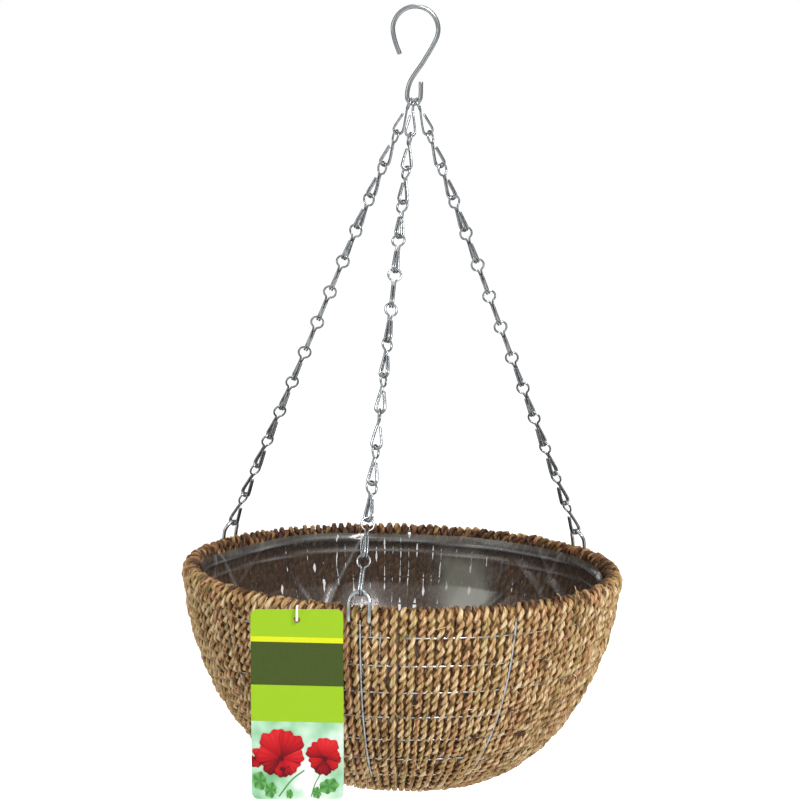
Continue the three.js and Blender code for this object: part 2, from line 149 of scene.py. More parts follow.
# The label's picture, in millimetres across and down from the card's upper left corner
LEAVES = ((6, 129, 7), (14, 136, 6), (57, 133, 7.5), (48, 138, 4.5), (28, 139, 3.5))
STEMS = (
    (((39, 121), (30, 128), (20, 141)), 0.55),
    (((52, 122), (47, 131), (44, 141)), 0.4),
)
BLOOMS = (     # place of the eye, then each petal's aim, size and half spread
    (3.5, 112, ((70, 8, 50), (190, 8, 50), (265, 7, 45))),
    (
        54,
        112,
        ((200, 12, 38), (335, 12, 40), (262, 13, 36), (22, 12, 40), (140, 15, 36), (78, 16, 42)),
    ),
    (
        22,
        112,
        (
            (265, 13, 40),
            (205, 16, 40),
            (325, 15, 38),
            (20, 17, 38),
            (158, 19, 38),
            (112, 23, 34),
            (62, 22, 36),
        ),
    ),
    (23, 120, ((275, 6.5, 70), (215, 6, 60), (330, 6, 60))),
)
PICTURE_TOP = 0.590       # where the picture starts, as a share of the card's height


# ---- settings that a user may change -------------------------------------------------------------
def length(name, value, about):
    return FloatProperty(name=name, description=about, default=value, unit="LENGTH", precision=5)


def paint(name, value, about):
    return FloatVectorProperty(
        name=name, description=about, default=value, subtype="COLOR", size=3, min=0, max=1
    )


class HookSizes(bpy.types.PropertyGroup):
    wire: length("Wire radius", 0.0018, "Radius of the hook's wire")
    crown: length("Crown radius", 0.0176, "Radius of the crown, to the wire's centre line")
    drop: length("Drop", 0.0713, "From the bearing point to the inside of the eye's bottom")
    eye_play: length("Eye play", 0.0007, "Room beside the three rings in the eye's bend")
    tip_in: length("Tip in", 0.006, "How far the free tip turns in")
    tip_drop: length("Tip drop", 0.0195, "How far the free tip hangs under the crown's centre")
    stub: length("Stub", 0.012, "Height of the eye's free end over the bend's centre")


class ChainSizes(bpy.types.PropertyGroup):
    links: IntProperty(name="Links", description="Links in each chain", default=14, min=2)
    wire: length("Wire radius", 0.0009, "Radius of a link's wire")
    ring: length("Ring inside", 0.00395, "Inside radius of a link's ring")
    leg_gap: length("Leg gap", 0.0002, "Between a link's two legs")
    play: length("Play", 0.0005, "Room where a link hangs on the next")
    bend: length("Bend inside", 0.0028, "Inside radius of the bend that carries the next link")
    neck: length("Neck", 0.0019, "Straight neck under the ring")
    end_gap: length("End gap", 0.0003, "Between the legs and the free ends beside them")
    ring_gap: length("Eye ring gap", 0.0001, "Between the tops of the rings in the hook's eye")
    eye_play: length("Eye play", 0.00055, "Between the hook's wire and the rings on it")


class WeaveSizes(bpy.types.PropertyGroup):
    columns: IntProperty(name="Columns", description="Ropes in one bay", default=17, min=3)
    thick: length("Thickness", 0.007, "Thickness of the rope")
    lay: length("Lay", 0.0148, "Length of one full turn of the rope's strands")
    rib_gap: length("Rib gap", 0.0014, "Extra gap between two ropes where a rib shows")
    pinch: length("Pinch", 0.0006, "How far the rope is drawn in where it crosses a ring")
    wander: length("Wander", 0.0004, "How far a rope strays from its place")
    partings: IntProperty(name="Partings", description="Places where ropes stand apart", default=210)
    strays: IntProperty(name="Stray fibres", description="Loose ends of grass", default=260)


class CageSizes(bpy.types.PropertyGroup):
    rings: IntProperty(name="Rings", description="Rings in the wire cage", default=7, min=2)
    ribs: IntProperty(name="Ribs", description="Upright wires in the cage", default=9, min=3)
    top: length("Top ring", 0.025, "Depth of the highest ring under the rim")
    pitch: length("Pitch", 0.023, "Between two rings, measured down the wall")
    ring_wire: length("Ring wire radius", 0.0009, "Radius of a ring's wire")
    rib_wire: length("Rib wire radius", 0.0011, "Radius of a rib's wire")
    rim_wire: length("Rim wire radius", 0.0015, "Radius of the wire inside the rim")


class LinerSizes(bpy.types.PropertyGroup):
    top: length("Top depth", 0.0078, "Depth of the film's edge under the rim's top")
    inset: length("Inset", 0.0081, "How far the film lies in from the rope's outside")
    disc: length("Disc", 0.53, "Diameter of the disc of film that the liner is cut as")
    creases: IntProperty(name="Creases", description="Sharp creases in the film", default=64)
    crease: length("Crease height", 0.0026, "Height of the largest crease")


class LabelSizes(bpy.types.PropertyGroup):
    corner: length("Corner radius", 0.005, "Radius of the card's corners")
    hole: length("Hole radius", 0.0025, "Radius of the hole that the tie passes through")
    hole_down: length("Hole down", 0.0076, "From the card's top edge to the hole's centre")
    tie: length("Tie radius", 0.0009, "Radius of the tie")


class Paints(bpy.types.PropertyGroup):
    steel: paint("Steel", (0.36, 0.38, 0.39), "Zinc-plated wire")
    steel_worn: paint("Worn steel", (0.10, 0.105, 0.11), "Dull patches of the plating")
    straw: paint("Straw", (0.62, 0.39, 0.155), "The middle colour of the dried grass")
    straw_pale: paint("Pale straw", (0.98, 0.80, 0.50), "The palest strands")
    straw_dark: paint("Dark straw", (0.11, 0.042, 0.012), "The darkest strands")
    straw_green: paint("Green straw", (0.34, 0.33, 0.13), "Strands that kept some green")
    straw_pink: paint("Rosy straw", (0.50, 0.26, 0.15), "Strands that dried to a rosy brown")
    film: paint("Film", (0.050, 0.043, 0.042), "The liner's smoky film")
    # Painted sheen: the pale colour of the film in its sheen patches.
    film_sheen: paint("Hazy film", (0.19, 0.19, 0.155), "Film that stands off the wall")
    lime: paint("Lime", (0.25, 0.43, 0.005), "The label's upper and third band")
    yellow: paint("Yellow", (0.57, 0.60, 0.006), "The label's thin line")
    olive: paint("Olive", (0.038, 0.062, 0.004), "The label's dark band")
    petal: paint("Petal", (0.40, 0.006, 0.010), "The petals in the label's picture")


SETTINGS = {
    "basket_hook": HookSizes,
    "basket_chain": ChainSizes,
    "basket_weave": WeaveSizes,
    "basket_cage": CageSizes,
    "basket_liner": LinerSizes,
    "basket_label": LabelSizes,
    "basket_paints": Paints,
}


# ---- lines and directions ------------------------------------------------------------------------
def around(az, r, z):
    """Points at an azimuth in degrees, a radius and a height."""
    a = np.radians(az)
    return np.stack(np.broadcast_arrays(r * np.sin(a), -r * np.cos(a), z), -1)


def unit(v):
    v = np.asarray(v, float)
    return v / np.linalg.norm(v, axis=-1, keepdims=True)


def turned_about(angle):
    """Cosine and sine of an angle in degrees."""
    return math.cos(math.radians(angle)), math.sin(math.radians(angle))


def smooth_line(points, step):
    """A centripetal Catmull-Rom line through the points, with a vertex about every step."""
    p = np.asarray(points, float)
    p = np.vstack([2 * p[0] - p[1], p, 2 * p[-1] - p[-2]])
    gaps = np.sqrt(np.linalg.norm(np.diff(p, axis=0), axis=1))
    made = []
    for n in range(1, len(p) - 2):
        a, b, c, d = p[n - 1 : n + 3]
        t1 = gaps[n - 1]
        t2 = t1 + gaps[n]
        t3 = t2 + gaps[n + 1]
        count = max(1, math.ceil(np.linalg.norm(c - b) / step))
        t = np.linspace(t1, t2, count, endpoint=False)[:, None]
        ab = (t1 - t) / t1 * a + t / t1 * b
        bc = (t2 - t) / (t2 - t1) * b + (t - t1) / (t2 - t1) * c
        cd = (t3 - t) / (t3 - t2) * c + (t - t2) / (t3 - t2) * d
        left = (t2 - t) / t2 * ab + t / t2 * bc
        right = (t3 - t) / (t3 - t1) * bc + (t - t1) / (t3 - t1) * cd
        made.append((t2 - t) / (t2 - t1) * left + (t - t1) / (t2 - t1) * right)
    return np.vstack([*made, p[-2]])


def run_of(line):
    """The distance along a line at each of its points."""
    return np.concatenate([[0], np.cumsum(np.linalg.norm(np.diff(line, axis=0), axis=1))])


def even(line, step):
    """The same line with its points evenly spaced."""
    run = run_of(line)
    at = np.linspace(0, run[-1], max(2, round(run[-1] / step) + 1))
    return np.stack([np.interp(at, run, line[:, k]) for k in range(line.shape[1])], -1)


def soft_step(x, low, high):
    t = np.clip((x - low) / (high - low), 0, 1)
    return t * t * (3 - 2 * t)


def wobble(run, dice, shortest, longest):
    """A smooth wandering value between about -1 and 1 along a line."""
    waves = [(dice.uniform(shortest, longest), dice.uniform(0, math.tau)) for _ in range(3)]
    return sum(np.sin(math.tau * run / wave + phase) for wave, phase in waves) / 2


def bowl_radius(depth):
    """The rope's outside radius at a depth under the rim's top."""
    down = np.clip(np.asarray(depth, float) / BOWL_DEPTH, 0, 1)
    return BASE_R + (RIM_R - BASE_R) * (1 - down**BOWL_POWER) ** BOWL_TURN


def off_wall(depth, out):
    """A point of the wall moved outward, as radius and depth."""
    step = 0.0005
    slope = (bowl_radius(depth + step) - bowl_radius(depth - step)) / (2 * step)
    size = np.hypot(1, slope)
    return np.stack([bowl_radius(depth) + out / size, depth - out * slope / size], -1)


def ring_depths(cage):
    """Depths of the cage's rings, evenly spaced down the wall."""
    depth = np.linspace(cage.top, BOWL_DEPTH, 800)
    run = run_of(np.stack([bowl_radius(depth), depth], -1))
    return np.interp(cage.pitch * np.arange(cage.rings), run, depth)


# ---- meshes --------------------------------------------------------------------------------------
class Gather:
    """Gathers tubes and sheets into one mesh, with values at their points and a strip map."""

    def __init__(self):
        self.points, self.faces, self.maps, self.values = [], [], [], {}
        self.count = self.strips = 0

    def tube(self, rings, closed=False, **values):
        """A tube through rings[section, vertex, xyz], with a value array for each name."""
        sections, sides = rings.shape[:2]
        rows = np.arange(sections if closed else sections - 1)
        start = rows[:, None] * sides
        end = (start + sides) % (sections * sides)
        side = np.arange(sides)[None, :]
        after = (side + 1) % sides
        quads = np.stack([start + side, start + after, end + after, end + side], -1)
        strip = (self.strips + rows // SECTIONS_IN_STRIP)[:, None]
        low = (rows % SECTIONS_IN_STRIP / SECTIONS_IN_STRIP)[:, None] + 0 * side
        high = low + 1 / SECTIONS_IN_STRIP
        left = strip + 0.05 + 0.9 * side / sides
        right = strip + 0.05 + 0.9 * (side + 1) / sides
        corners = [left, low, right, low, right, high, left, high]
        self.maps.append(np.stack(corners, -1).reshape(-1, 2))
        self.faces += (quads.reshape(-1, 4) + self.count).tolist()
        self.strips = int(strip.max()) + 1
        if not closed:
            first = self.count + np.arange(sides)
            last = first + (sections - 1) * sides
            self.faces += [first[::-1].tolist(), last.tolist()]
            for row, strip_at in ((0, strip[0, 0]), (sections - 1, strip[-1, 0])):
                across = strip_at + 0.05 + 0.9 * np.arange(sides) / sides
                down = np.full(sides, row % SECTIONS_IN_STRIP / SECTIONS_IN_STRIP)
                spot = np.stack([across, down], -1)
                self.maps.append(spot[::-1] if row == 0 else spot)
        self.keep(rings.reshape(-1, 3), values)

    def patch(self, points, faces, **values):
        """Loose faces, listed from 0 among these points."""
        self.faces += [[n + self.count for n in face] for face in faces]
        self.keep(np.asarray(points, float), values)

    def keep(self, points, values):
        self.points.append(points)
        self.count += len(points)
        for name, value in values.items():
            self.values.setdefault(name, []).append(value)

    def build(self, name, material, mapped=False):
        mesh = bpy.data.meshes.new(name)
        mesh.from_pydata(np.vstack(self.points).tolist(), [], self.faces)
        for key, parts in self.values.items():
            data = np.concatenate(parts).astype(np.float32)
            kind, field = ("FLOAT_VECTOR", "vector") if data.ndim == 2 else ("FLOAT", "value")
            mesh.attributes.new(key, kind, "POINT").data.foreach_set(field, data.ravel())
        if mapped:
            where = np.vstack(self.maps) / (self.strips, 1)
            layer = mesh.uv_layers.new(name=BAKE_MAP)
            layer.data.foreach_set("uv", where.astype(np.float32).ravel())
        mesh.polygons.foreach_set("use_smooth", [True] * len(mesh.polygons))
        mesh.materials.append(material)
        made = bpy.data.objects.new(name, mesh)
        bpy.context.scene.collection.objects.link(made)
        return made


def carried_frames(line, closed=False):
    """Two directions across a line at each point, carried along it without twist."""
    ahead = np.roll(line, -1, axis=0) - np.roll(line, 1, axis=0)
    if not closed:
        ahead[0] = line[1] - line[0]
        ahead[-1] = line[-1] - line[-2]
    ahead = unit(ahead)
    across = np.cross(ahead[0], (0.31, 0.83, 0.47))
    sideways = []
    for direction in ahead:
        across = across - np.dot(across, direction) * direction
        across = across / np.linalg.norm(across)
        sideways.append(across)
    sideways = np.array(sideways)
    return sideways, np.cross(ahead, sideways)


def wire_rings(line, radius, sides=8, closed=False, end=0.72):
    """Sections of a round wire along a line, with its cut ends slightly rounded."""
    if not closed:
        bevel = 0.3 * radius
        first = line[0] + bevel * unit(line[1] - line[0])
        last = line[-1] + bevel * unit(line[-2] - line[-1])
        line = np.vstack([line[0], first, line[1:-1], last, line[-1]])
    across, over = carried_frames(line, closed)
    size = np.full(len(line), radius)
    if not closed:
        size[[0, -1]] = end * radius
    a = math.tau * np.arange(sides) / sides
    ring = np.cos(a)[None, :, None] * across[:, None] + np.sin(a)[None, :, None] * over[:, None]
    return line[:, None] + size[:, None, None] * ring


def finish_piece(made, body, slot, *nodes):
    """Makes a piece ride on its body and hides the nodes that it stands for."""
    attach(made, body)
    if nodes:
        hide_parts(*nodes)


# ---- material parts ------------------------------------------------------------------------------
class Board:
    """Places nodes in one tree and wires them up."""

    def __init__(self, tree):
        self.tree = tree

    def add(self, kind, wires=None, **settings):
        node = self.tree.nodes.new(kind)
        for name, value in settings.items():
            setattr(node, name, value)
        for name, value in (wires or {}).items():
            if isinstance(value, bpy.types.NodeSocket):
                self.tree.links.new(value, node.inputs[name])
            else:
                node.inputs[name].default_value = value
        return node

    def math(self, operation, *values):
        node = self.add("ShaderNodeMath", dict(enumerate(values)), operation=operation)
        return node.outputs[0]

    def mix(self, share, a, b, blend="MIX"):
        wires = {"Factor": share, 6: a, 7: b}
        node = self.add("ShaderNodeMix", wires, data_type="RGBA", blend_type=blend)
        return node.outputs[2]

    def span(self, value, low, high, to_low=0.0, to_high=1.0):
        wires = {0: value, 1: low, 2: high, 3: to_low, 4: to_high}
        return self.add("ShaderNodeMapRange", wires).outputs[0]

    def noise(self, where, scale, detail=2.0, rough=0.5):
        wires = {"Vector": where, "Scale": scale, "Detail": detail, "Roughness": rough}
        return self.add("ShaderNodeTexNoise", wires).outputs["Fac"]

    def ramp(self, value, stops, interpolation="LINEAR"):
        node = self.add("ShaderNodeValToRGB", {"Fac": value})
        ramp = node.color_ramp
        ramp.interpolation = interpolation
        while len(ramp.elements) < len(stops):
            ramp.elements.new(1.0)
        for element, (at, colour) in zip(ramp.elements, stops):
            element.position = at
            element.color = (*colour, 1)
        return node.outputs["Color"]

    def place(self):
        return self.add("ShaderNodeTexCoord").outputs["Object"]

    def sway(self, value, noise, amount):
        """The value moved up and down by a noise about its middle."""
        moved = self.math("MULTIPLY", self.math("SUBTRACT", noise, 0.5), amount)
        return self.math("ADD", value, moved)

    def effect(self, make, **values):
        """The outputs of a shared effect, placed with this material's own values."""
        return self.add("ShaderNodeGroup", values, node_tree=group_of(make)).outputs


def effect_group(name, inputs, outputs):
    """A new node group with named sockets, its board, and its input and output nodes."""
    tree = bpy.data.node_groups.new(name, "ShaderNodeTree")
    for label, kind in inputs.items():
        tree.interface.new_socket(name=label, in_out="INPUT", socket_type=f"NodeSocket{kind}")
    for label, kind in outputs.items():
        tree.interface.new_socket(name=label, in_out="OUTPUT", socket_type=f"NodeSocket{kind}")
    board = Board(tree)
    return tree, board, board.add("NodeGroupInput").outputs, board.add("NodeGroupOutput")


def colour(value):
    return (*value, 1.0)


def weathered_metal():
    """Zinc spangle, dull patches and drawing marks for every wire."""
    ins = {"Clean": "Color", "Worn": "Color", "Wear": "Float", "Scale": "Float"}
    outs = {"Color": "Color", "Roughness": "Float", "Height": "Float"}
    tree, board, given, out = effect_group("Weathered Metal", ins, outs)
    place = board.place()
    patches = board.noise(place, given["Scale"], 4.0, 0.62)
    fine = board.noise(place, board.math("MULTIPLY", given["Scale"], 9.0), 3.0, 0.6)
    spangle = board.add(
        "ShaderNodeTexVoronoi",
        {"Vector": place, "Scale": board.math("MULTIPLY", given["Scale"], 3.0)},
    ).outputs["Color"]
    cell = board.add("ShaderNodeSeparateColor", {"Color": spangle}).outputs[0]
    dull = board.span(patches, board.math("SUBTRACT", 0.72, given["Wear"]), 0.75)
    both = board.sway(board.sway(dull, cell, 0.35), fine, 0.5)
    share = board.add("ShaderNodeClamp", {"Value": both}).outputs[0]
    wires = board.tree.links
    wires.new(board.mix(share, given["Clean"], given["Worn"]), out.inputs["Color"])
    wires.new(board.span(both, 0.0, 1.0, 0.20, 0.46), out.inputs["Roughness"])
    wires.new(fine, out.inputs["Height"])
    return tree


def straw_fibre():
    """Colour and fibre of dried grass, from each strand's own tone, its painted shade and the way its
    fibres run.
    """
    names = ("Straw", "Pale", "Dark", "Green", "Rosy")
    ins = {name: "Color" for name in names}
    outs = {"Color": "Color", "Roughness": "Float", "Height": "Float"}
    tree, board, given, out = effect_group("Straw Fibre", ins, outs)
    tint = board.add("ShaderNodeAttribute", attribute_name="tint").outputs["Vector"]
    split = board.add("ShaderNodeSeparateXYZ", {"Vector": tint}).outputs
    fibre = board.add("ShaderNodeAttribute", attribute_name="fibre").outputs["Vector"]
    long_way = board.add("ShaderNodeMapping", {"Vector": fibre, "Scale": (1, 1, 0.10)})
    streak = board.noise(long_way.outputs[0], 1500.0, 3.0, 0.6)
    blade = board.noise(long_way.outputs[0], 480.0, 1.0, 0.5)
    blotch = board.noise(fibre, 95.0, 3.0, 0.6)
    level = board.sway(split[0], streak, 1.6)
    level = board.sway(level, blotch, 0.9)
    level = board.sway(level, blade, 1.5)
    light = board.mix(board.span(level, 0.50, 1.0), given["Straw"], given["Pale"])
    body = board.mix(board.span(level, 0.42, 0.0), light, given["Dark"])
    greenish = board.span(split[1], 0.78, 0.92, 0.0, 0.55)
    rosy = board.span(split[1], 0.16, 0.04, 0.0, 0.50)
    body = board.mix(greenish, body, board.mix(0.5, given["Green"], body, "OVERLAY"))
    body = board.mix(rosy, body, board.mix(0.35, given["Rosy"], body, "OVERLAY"))
    # Painted shade: the third attribute value darkens the colour towards a deep brown in the rope's
    # grooves, behind the strands and inside the rim.
    shade = board.span(split[2], 0.0, 1.0, 0.0, 1.0)
    depth = board.mix(shade, (0.20, 0.115, 0.055, 1), (1, 1, 1, 1))
    wires = board.tree.links
    wires.new(board.mix(1.0, body, depth, "MULTIPLY"), out.inputs["Color"])
    wires.new(board.span(streak, 0.3, 0.7, 0.5, 0.78), out.inputs["Roughness"])
    wires.new(streak, out.inputs["Height"])
    return tree


def fine_grain():
    """Faint fibre or pebble of card, plastic and floor."""
    ins = {"Scale": "Float", "Low": "Float", "High": "Float"}
    outs = {"Mask": "Float", "Roughness": "Float"}
    tree, board, given, out = effect_group("Fine Grain", ins, outs)
    grain = board.noise(board.place(), given["Scale"], 5.0, 0.65)
    wires = board.tree.links
    wires.new(grain, out.inputs["Mask"])
    wires.new(board.span(grain, 0.25, 0.75, given["Low"], given["High"]), out.inputs["Roughness"])
    return tree


def group_of(make):
    """The node group that a function makes, made once."""
    name = make.__name__.replace("_", " ").title()
    return bpy.data.node_groups.get(name) or make()


def new_material(name):
    """A material, its board and its Principled shader, or None in their place if it exists."""
    found = bpy.data.materials.get(name)
    if found:
        return found, None, None
    material = bpy.data.materials.new(name)
    material.use_nodes = True
    board = Board(material.node_tree)
    return material, board, material.node_tree.nodes["Principled BSDF"]


def bump(board, height, strength, distance):
    wires = {"Height": height, "Strength": strength, "Distance": distance}
    return board.add("ShaderNodeBump", wires).outputs["Normal"]


def join(board, shader, **sockets):
    for name, value in sockets.items():
        board.tree.links.new(value, shader.inputs[name.replace("_", " ")])


def steel_material(name, wear, scale, shade=1.0):
    """Zinc-plated wire; wear spreads its dull patches, and shade makes all of it brighter."""
    material, board, shader = new_material(name)
    if board:
        paints = bpy.context.scene.basket_paints
        metal = board.effect(
            weathered_metal,
            Clean=colour([shade * v for v in paints.steel]),
            Worn=colour([shade * v for v in paints.steel_worn]),
            Wear=wear,
            Scale=scale,
        )
        shader.inputs["Metallic"].default_value = 1.0
        normal = bump(board, metal["Height"], 0.25, 0.0001)
        join(board, shader, Base_Color=metal["Color"], Roughness=metal["Roughness"], Normal=normal)
    return material


def straw_material(name, strength):
    """Twisted grass; strength is how strongly its fibres stand out."""
    material, board, shader = new_material(name)
    if board:
        paints = bpy.context.scene.basket_paints
        straw = board.effect(
            straw_fibre,
            Straw=colour(paints.straw),
            Pale=colour(paints.straw_pale),
            Dark=colour(paints.straw_dark),
            Green=colour(paints.straw_green),
            Rosy=colour(paints.straw_pink),
        )
        shader.inputs["Specular IOR Level"].default_value = 0.35
        join(
            board,
            shader,
            Base_Color=straw["Color"],
            Roughness=straw["Roughness"],
            Normal=bump(board, straw["Height"], strength, 0.0006),
        )
    return material


def film_material():
    """Smoky, glossy film that lets some light through, with painted sheen patches and painted
    highlights along its folds.
    """
    material, board, shader = new_material("smoky_film")
    if board:
        grain = board.effect(fine_grain, Scale=45.0, Low=0.14, High=0.34)
        paints = bpy.context.scene.basket_paints
        look = board.add("ShaderNodeAttribute", attribute_name="look").outputs["Vector"]
        look = board.add("ShaderNodeSeparateXYZ", {"Vector": look}).outputs
        fold = look[0]
        ragged = board.noise(board.place(), 38.0, 3.0, 0.55)
        # Painted sheen: in the listed places and in the band under the edge, the film turns paler and
        # less clear.
        sheen_share = board.span(board.sway(look[1], ragged, 0.7), 0.25, 0.75)
        painted_sheen = board.mix(sheen_share, colour(paints.film), colour(paints.film_sheen))
        # Painted highlight: the folds turn a pale bluish grey and less clear.
        painted_sheen = board.mix(board.math("MULTIPLY", fold, 0.75), painted_sheen, (0.50, 0.54, 0.55, 1))
        film = board.span(sheen_share, 0.0, 1.0, 0.50, 0.86)
        film = board.math("ADD", film, board.math("MULTIPLY", fold, 0.2))
        shader.inputs["Specular IOR Level"].default_value = 0.7
        shader.inputs["Coat Weight"].default_value = 0.4
        shader.inputs["Coat Roughness"].default_value = 0.08
        join(board, shader, Base_Color=painted_sheen, Roughness=grain["Roughness"], Alpha=film)
    return material


def card_material():
    """Printed card: bands of colour down the front, plain card behind."""
    material, board, shader = new_material("printed_card")
    if board:
        paints = bpy.context.scene.basket_paints
        grain = board.effect(fine_grain, Scale=700.0, Low=0.34, High=0.46)
        place = board.add("ShaderNodeSeparateXYZ", {"Vector": board.place()}).outputs
        down = board.span(place[2], CARD_HIGH.z, CARD_LOW.z)
        bands = board.ramp(
            down,
            [
                (0.0, paints.lime),
                (0.144, paints.yellow),
                (0.168, paints.olive),
                (0.398, paints.lime),
                (PICTURE_TOP, (0.62, 0.70, 0.62)),
            ],
            "CONSTANT",
        )
        meadow = board.noise(board.place(), 42.0, 2.0, 0.5)
        greens = [
            (0.30, (0.13, 0.36, 0.15)),
            (0.5, (0.36, 0.57, 0.40)),
            (0.68, (0.70, 0.72, 0.69)),
        ]
        misty = board.ramp(meadow, greens)
        in_picture = board.math("GREATER_THAN", down, PICTURE_TOP)
        print_colour = board.mix(in_picture, bands, misty)
        middle = 0.5 * (CARD_LOW.y + CARD_HIGH.y)
        behind = board.math("GREATER_THAN", place[1], middle)
        front = board.mix(behind, print_colour, (0.80, 0.80, 0.76, 1.0))
        faded = board.span(grain["Mask"], 0.3, 0.7, 0.0, 0.015)
        shader.inputs["Specular IOR Level"].default_value = 0.2
        join(
            board,
            shader,
            Base_Color=board.mix(faded, front, (0.9, 0.9, 0.85, 1.0)),
            Roughness=grain["Roughness"],
            Normal=bump(board, grain["Mask"], 0.08, 0.0002),
        )
    return material


def picture_material():
    """Printed ink of the flowers and leaves, from each shape's own ink and shading."""
    material, board, shader = new_material("printed_flowers")
    if board:
        paints = bpy.context.scene.basket_paints
        grain = board.effect(fine_grain, Scale=900.0, Low=0.34, High=0.46)
        ink = board.add("ShaderNodeAttribute", attribute_name="ink").outputs["Vector"]
        split = board.add("ShaderNodeSeparateXYZ", {"Vector": ink}).outputs
        shader.inputs["Specular IOR Level"].default_value = 0.15
        bright = [min(1.0, 1.5 * v + 0.015) for v in paints.petal]
        petal = board.ramp(split[1], [(0.0, (0.09, 0.002, 0.006)), (0.45, paints.petal), (1.0, bright)])
        leaf = board.ramp(split[1], [(0.0, (0.02, 0.10, 0.02)), (1.0, (0.14, 0.40, 0.10))])
        join(
            board,
            shader,
            Base_Color=board.mix(split[0], petal, leaf),
            Roughness=grain["Roughness"],
        )
    return material


def tie_material():
    """Milky plastic of the label's tie."""
    material, board, shader = new_material("milky_plastic")
    if board:
        grain = board.effect(fine_grain, Scale=500.0, Low=0.28, High=0.5)
        tone = board.mix(grain["Mask"], (0.72, 0.74, 0.68, 1), (0.88, 0.88, 0.84, 1))
        shader.inputs["Subsurface Weight"].default_value = 0.2
        shader.inputs["Subsurface Radius"].default_value = (0.002, 0.002, 0.002)
        join(board, shader, Base_Color=tone, Roughness=grain["Roughness"])
    return material


def floor_material():
    """Pale matt floor."""
    material, board, shader = new_material("pale_floor")
    if board:
        grain = board.effect(fine_grain, Scale=30.0, Low=0.8, High=0.95)
        shade = board.mix(grain["Mask"], (0.88, 0.88, 0.88, 1), (0.90, 0.90, 0.90, 1))
        seen = board.add("ShaderNodeLightPath").outputs["Is Camera Ray"]
        shader.inputs["Emission Color"].default_value = (1, 1, 1, 1)
        join(
            board,
            shader,
            Base_Color=shade,
            Roughness=grain["Roughness"],
            Emission_Strength=board.math("MULTIPLY", seen, 0.6),
        )
    return material


# ---- hook, clips and chains ----------------------------------------------------------------------
def eye_sizes(scene):
    """The eye's half width, its wire's radius of bend and the bend's height."""
    hook, chain = scene.basket_hook, scene.basket_chain
    half = 3 * chain.wire + hook.eye_play
    return half, half + hook.wire, -hook.drop + half


def hook_line(scene):
    """The hook's wire from its free tip over the crown and round the eye."""
    hook = scene.basket_hook
    _, eye_r, eye_z = eye_sizes(scene)
    crown_z = hook.wire - hook.crown
    points = [
        (hook.tip_in - hook.crown, crown_z - hook.tip_drop),
        (0.4 * hook.tip_in - hook.crown, crown_z - 0.55 * hook.tip_drop),
    ]
    for angle in range(180, -19, -22):
        x, z = turned_about(angle)
        points.append((hook.crown * x, crown_z + hook.crown * z))
    points.append((0.42 * hook.crown, crown_z - 1.34 * hook.crown))
    points.append((-0.6 * eye_r, eye_z + 2.25 * eye_r))
    points.append((-eye_r, eye_z + 0.6 * eye_r))
    for angle in range(180, 361, 30):
        x, z = turned_about(angle)
        points.append((eye_r * x, eye_z + eye_r * z))
    points.append((eye_r, eye_z + hook.stub))
    flat = np.array(points)
    return smooth_line(np.stack([flat[:, 0], 0 * flat[:, 0], flat[:, 1]], -1), 0.0011)


def clip_line(az):
    """One rim clip's wire: a foot under the rim wire, up over the arch and back to the other foot."""
    leg_r = RIM_R + LEG_CLEAR + CLIP_WIRE

    def at(aside, r, z):
        return around(az, r, RIM_Z + z) + around(az + 90, aside, 0)

    def foot(side):
        return [
            at(side * CLIP_ARCH, CLIP_FOOT_END_R, -CLIP_FOOT_DEPTH),
            at(side * CLIP_ARCH, leg_r - CLIP_CORNER, -CLIP_FOOT_DEPTH),
            at(side * CLIP_ARCH, leg_r, -CLIP_FOOT_DEPTH + CLIP_CORNER),
        ]

    points = foot(-1)
    for n in range(13):
        x, z = turned_about(180 * (1 - n / 12))
        height = CLIP_TOP - CLIP_ARCH + CLIP_ARCH * z
        leaned_in = (leg_r - CLIP_TOP_R) * max(height, 0) / CLIP_TOP
        points.append(at(CLIP_ARCH * x, leg_r - leaned_in, height))
    return smooth_line(points + foot(1)[::-1], 0.0009)


def facing(name, n, links):
    """The azimuth that the ring of link n faces."""
    side = 1 if name == "right" else -1
    if n <= TURNED_AT_EYE:
        return side * (TURNED_AT_EYE + 1 - n) * TURN_AT_EYE
    last = CLIP_AZ[name] + (0 if name == "front" else -180 * side)
    if name == "front":
        start = TURNED_AT_EYE + 1
        if n <= FRONT_TURN_LINK:
            return FRONT_TURN * (n - start) / (FRONT_TURN_LINK - start)
        share = (n - FRONT_TURN_LINK) / (links - FRONT_TURN_LINK)
        return FRONT_TURN + (last - FRONT_TURN) * share
    return last * max(n - REAR_FREE_LINK, 0) / (links - REAR_FREE_LINK)


def link_line(chain, pitch, seat):
    """One link's bent wire: x across its ring, y along the ring's axis and z up the chain."""
    ring_r = chain.ring + chain.wire
    bend_r = chain.bend + chain.wire
    leg = chain.wire + 0.5 * chain.leg_gap
    clear = 2 * chain.wire + chain.end_gap
    bottom = seat - pitch
    neck = -ring_r - chain.neck
    lean = 0.5 * (clear - chain.wire)

    def half(side):
        points = [(side * leg, -lean, neck)]
        for angle in (188, 208, 229, 249, 270, 291, 311, 332, 352):
            y, z = turned_about(angle)
            points.append((side * leg, bend_r * y, bottom + bend_r * (1 + z)))
        points.append((side * leg, clear - lean, neck - 0.0022))
        return points

    ring = []
    for n in range(17):
        x, z = turned_about(-70 + 320 * n / 16)
        ring.append((ring_r * x, 0, ring_r * z))
    return smooth_line(half(1)[::-1] + ring + half(-1), 0.0009)


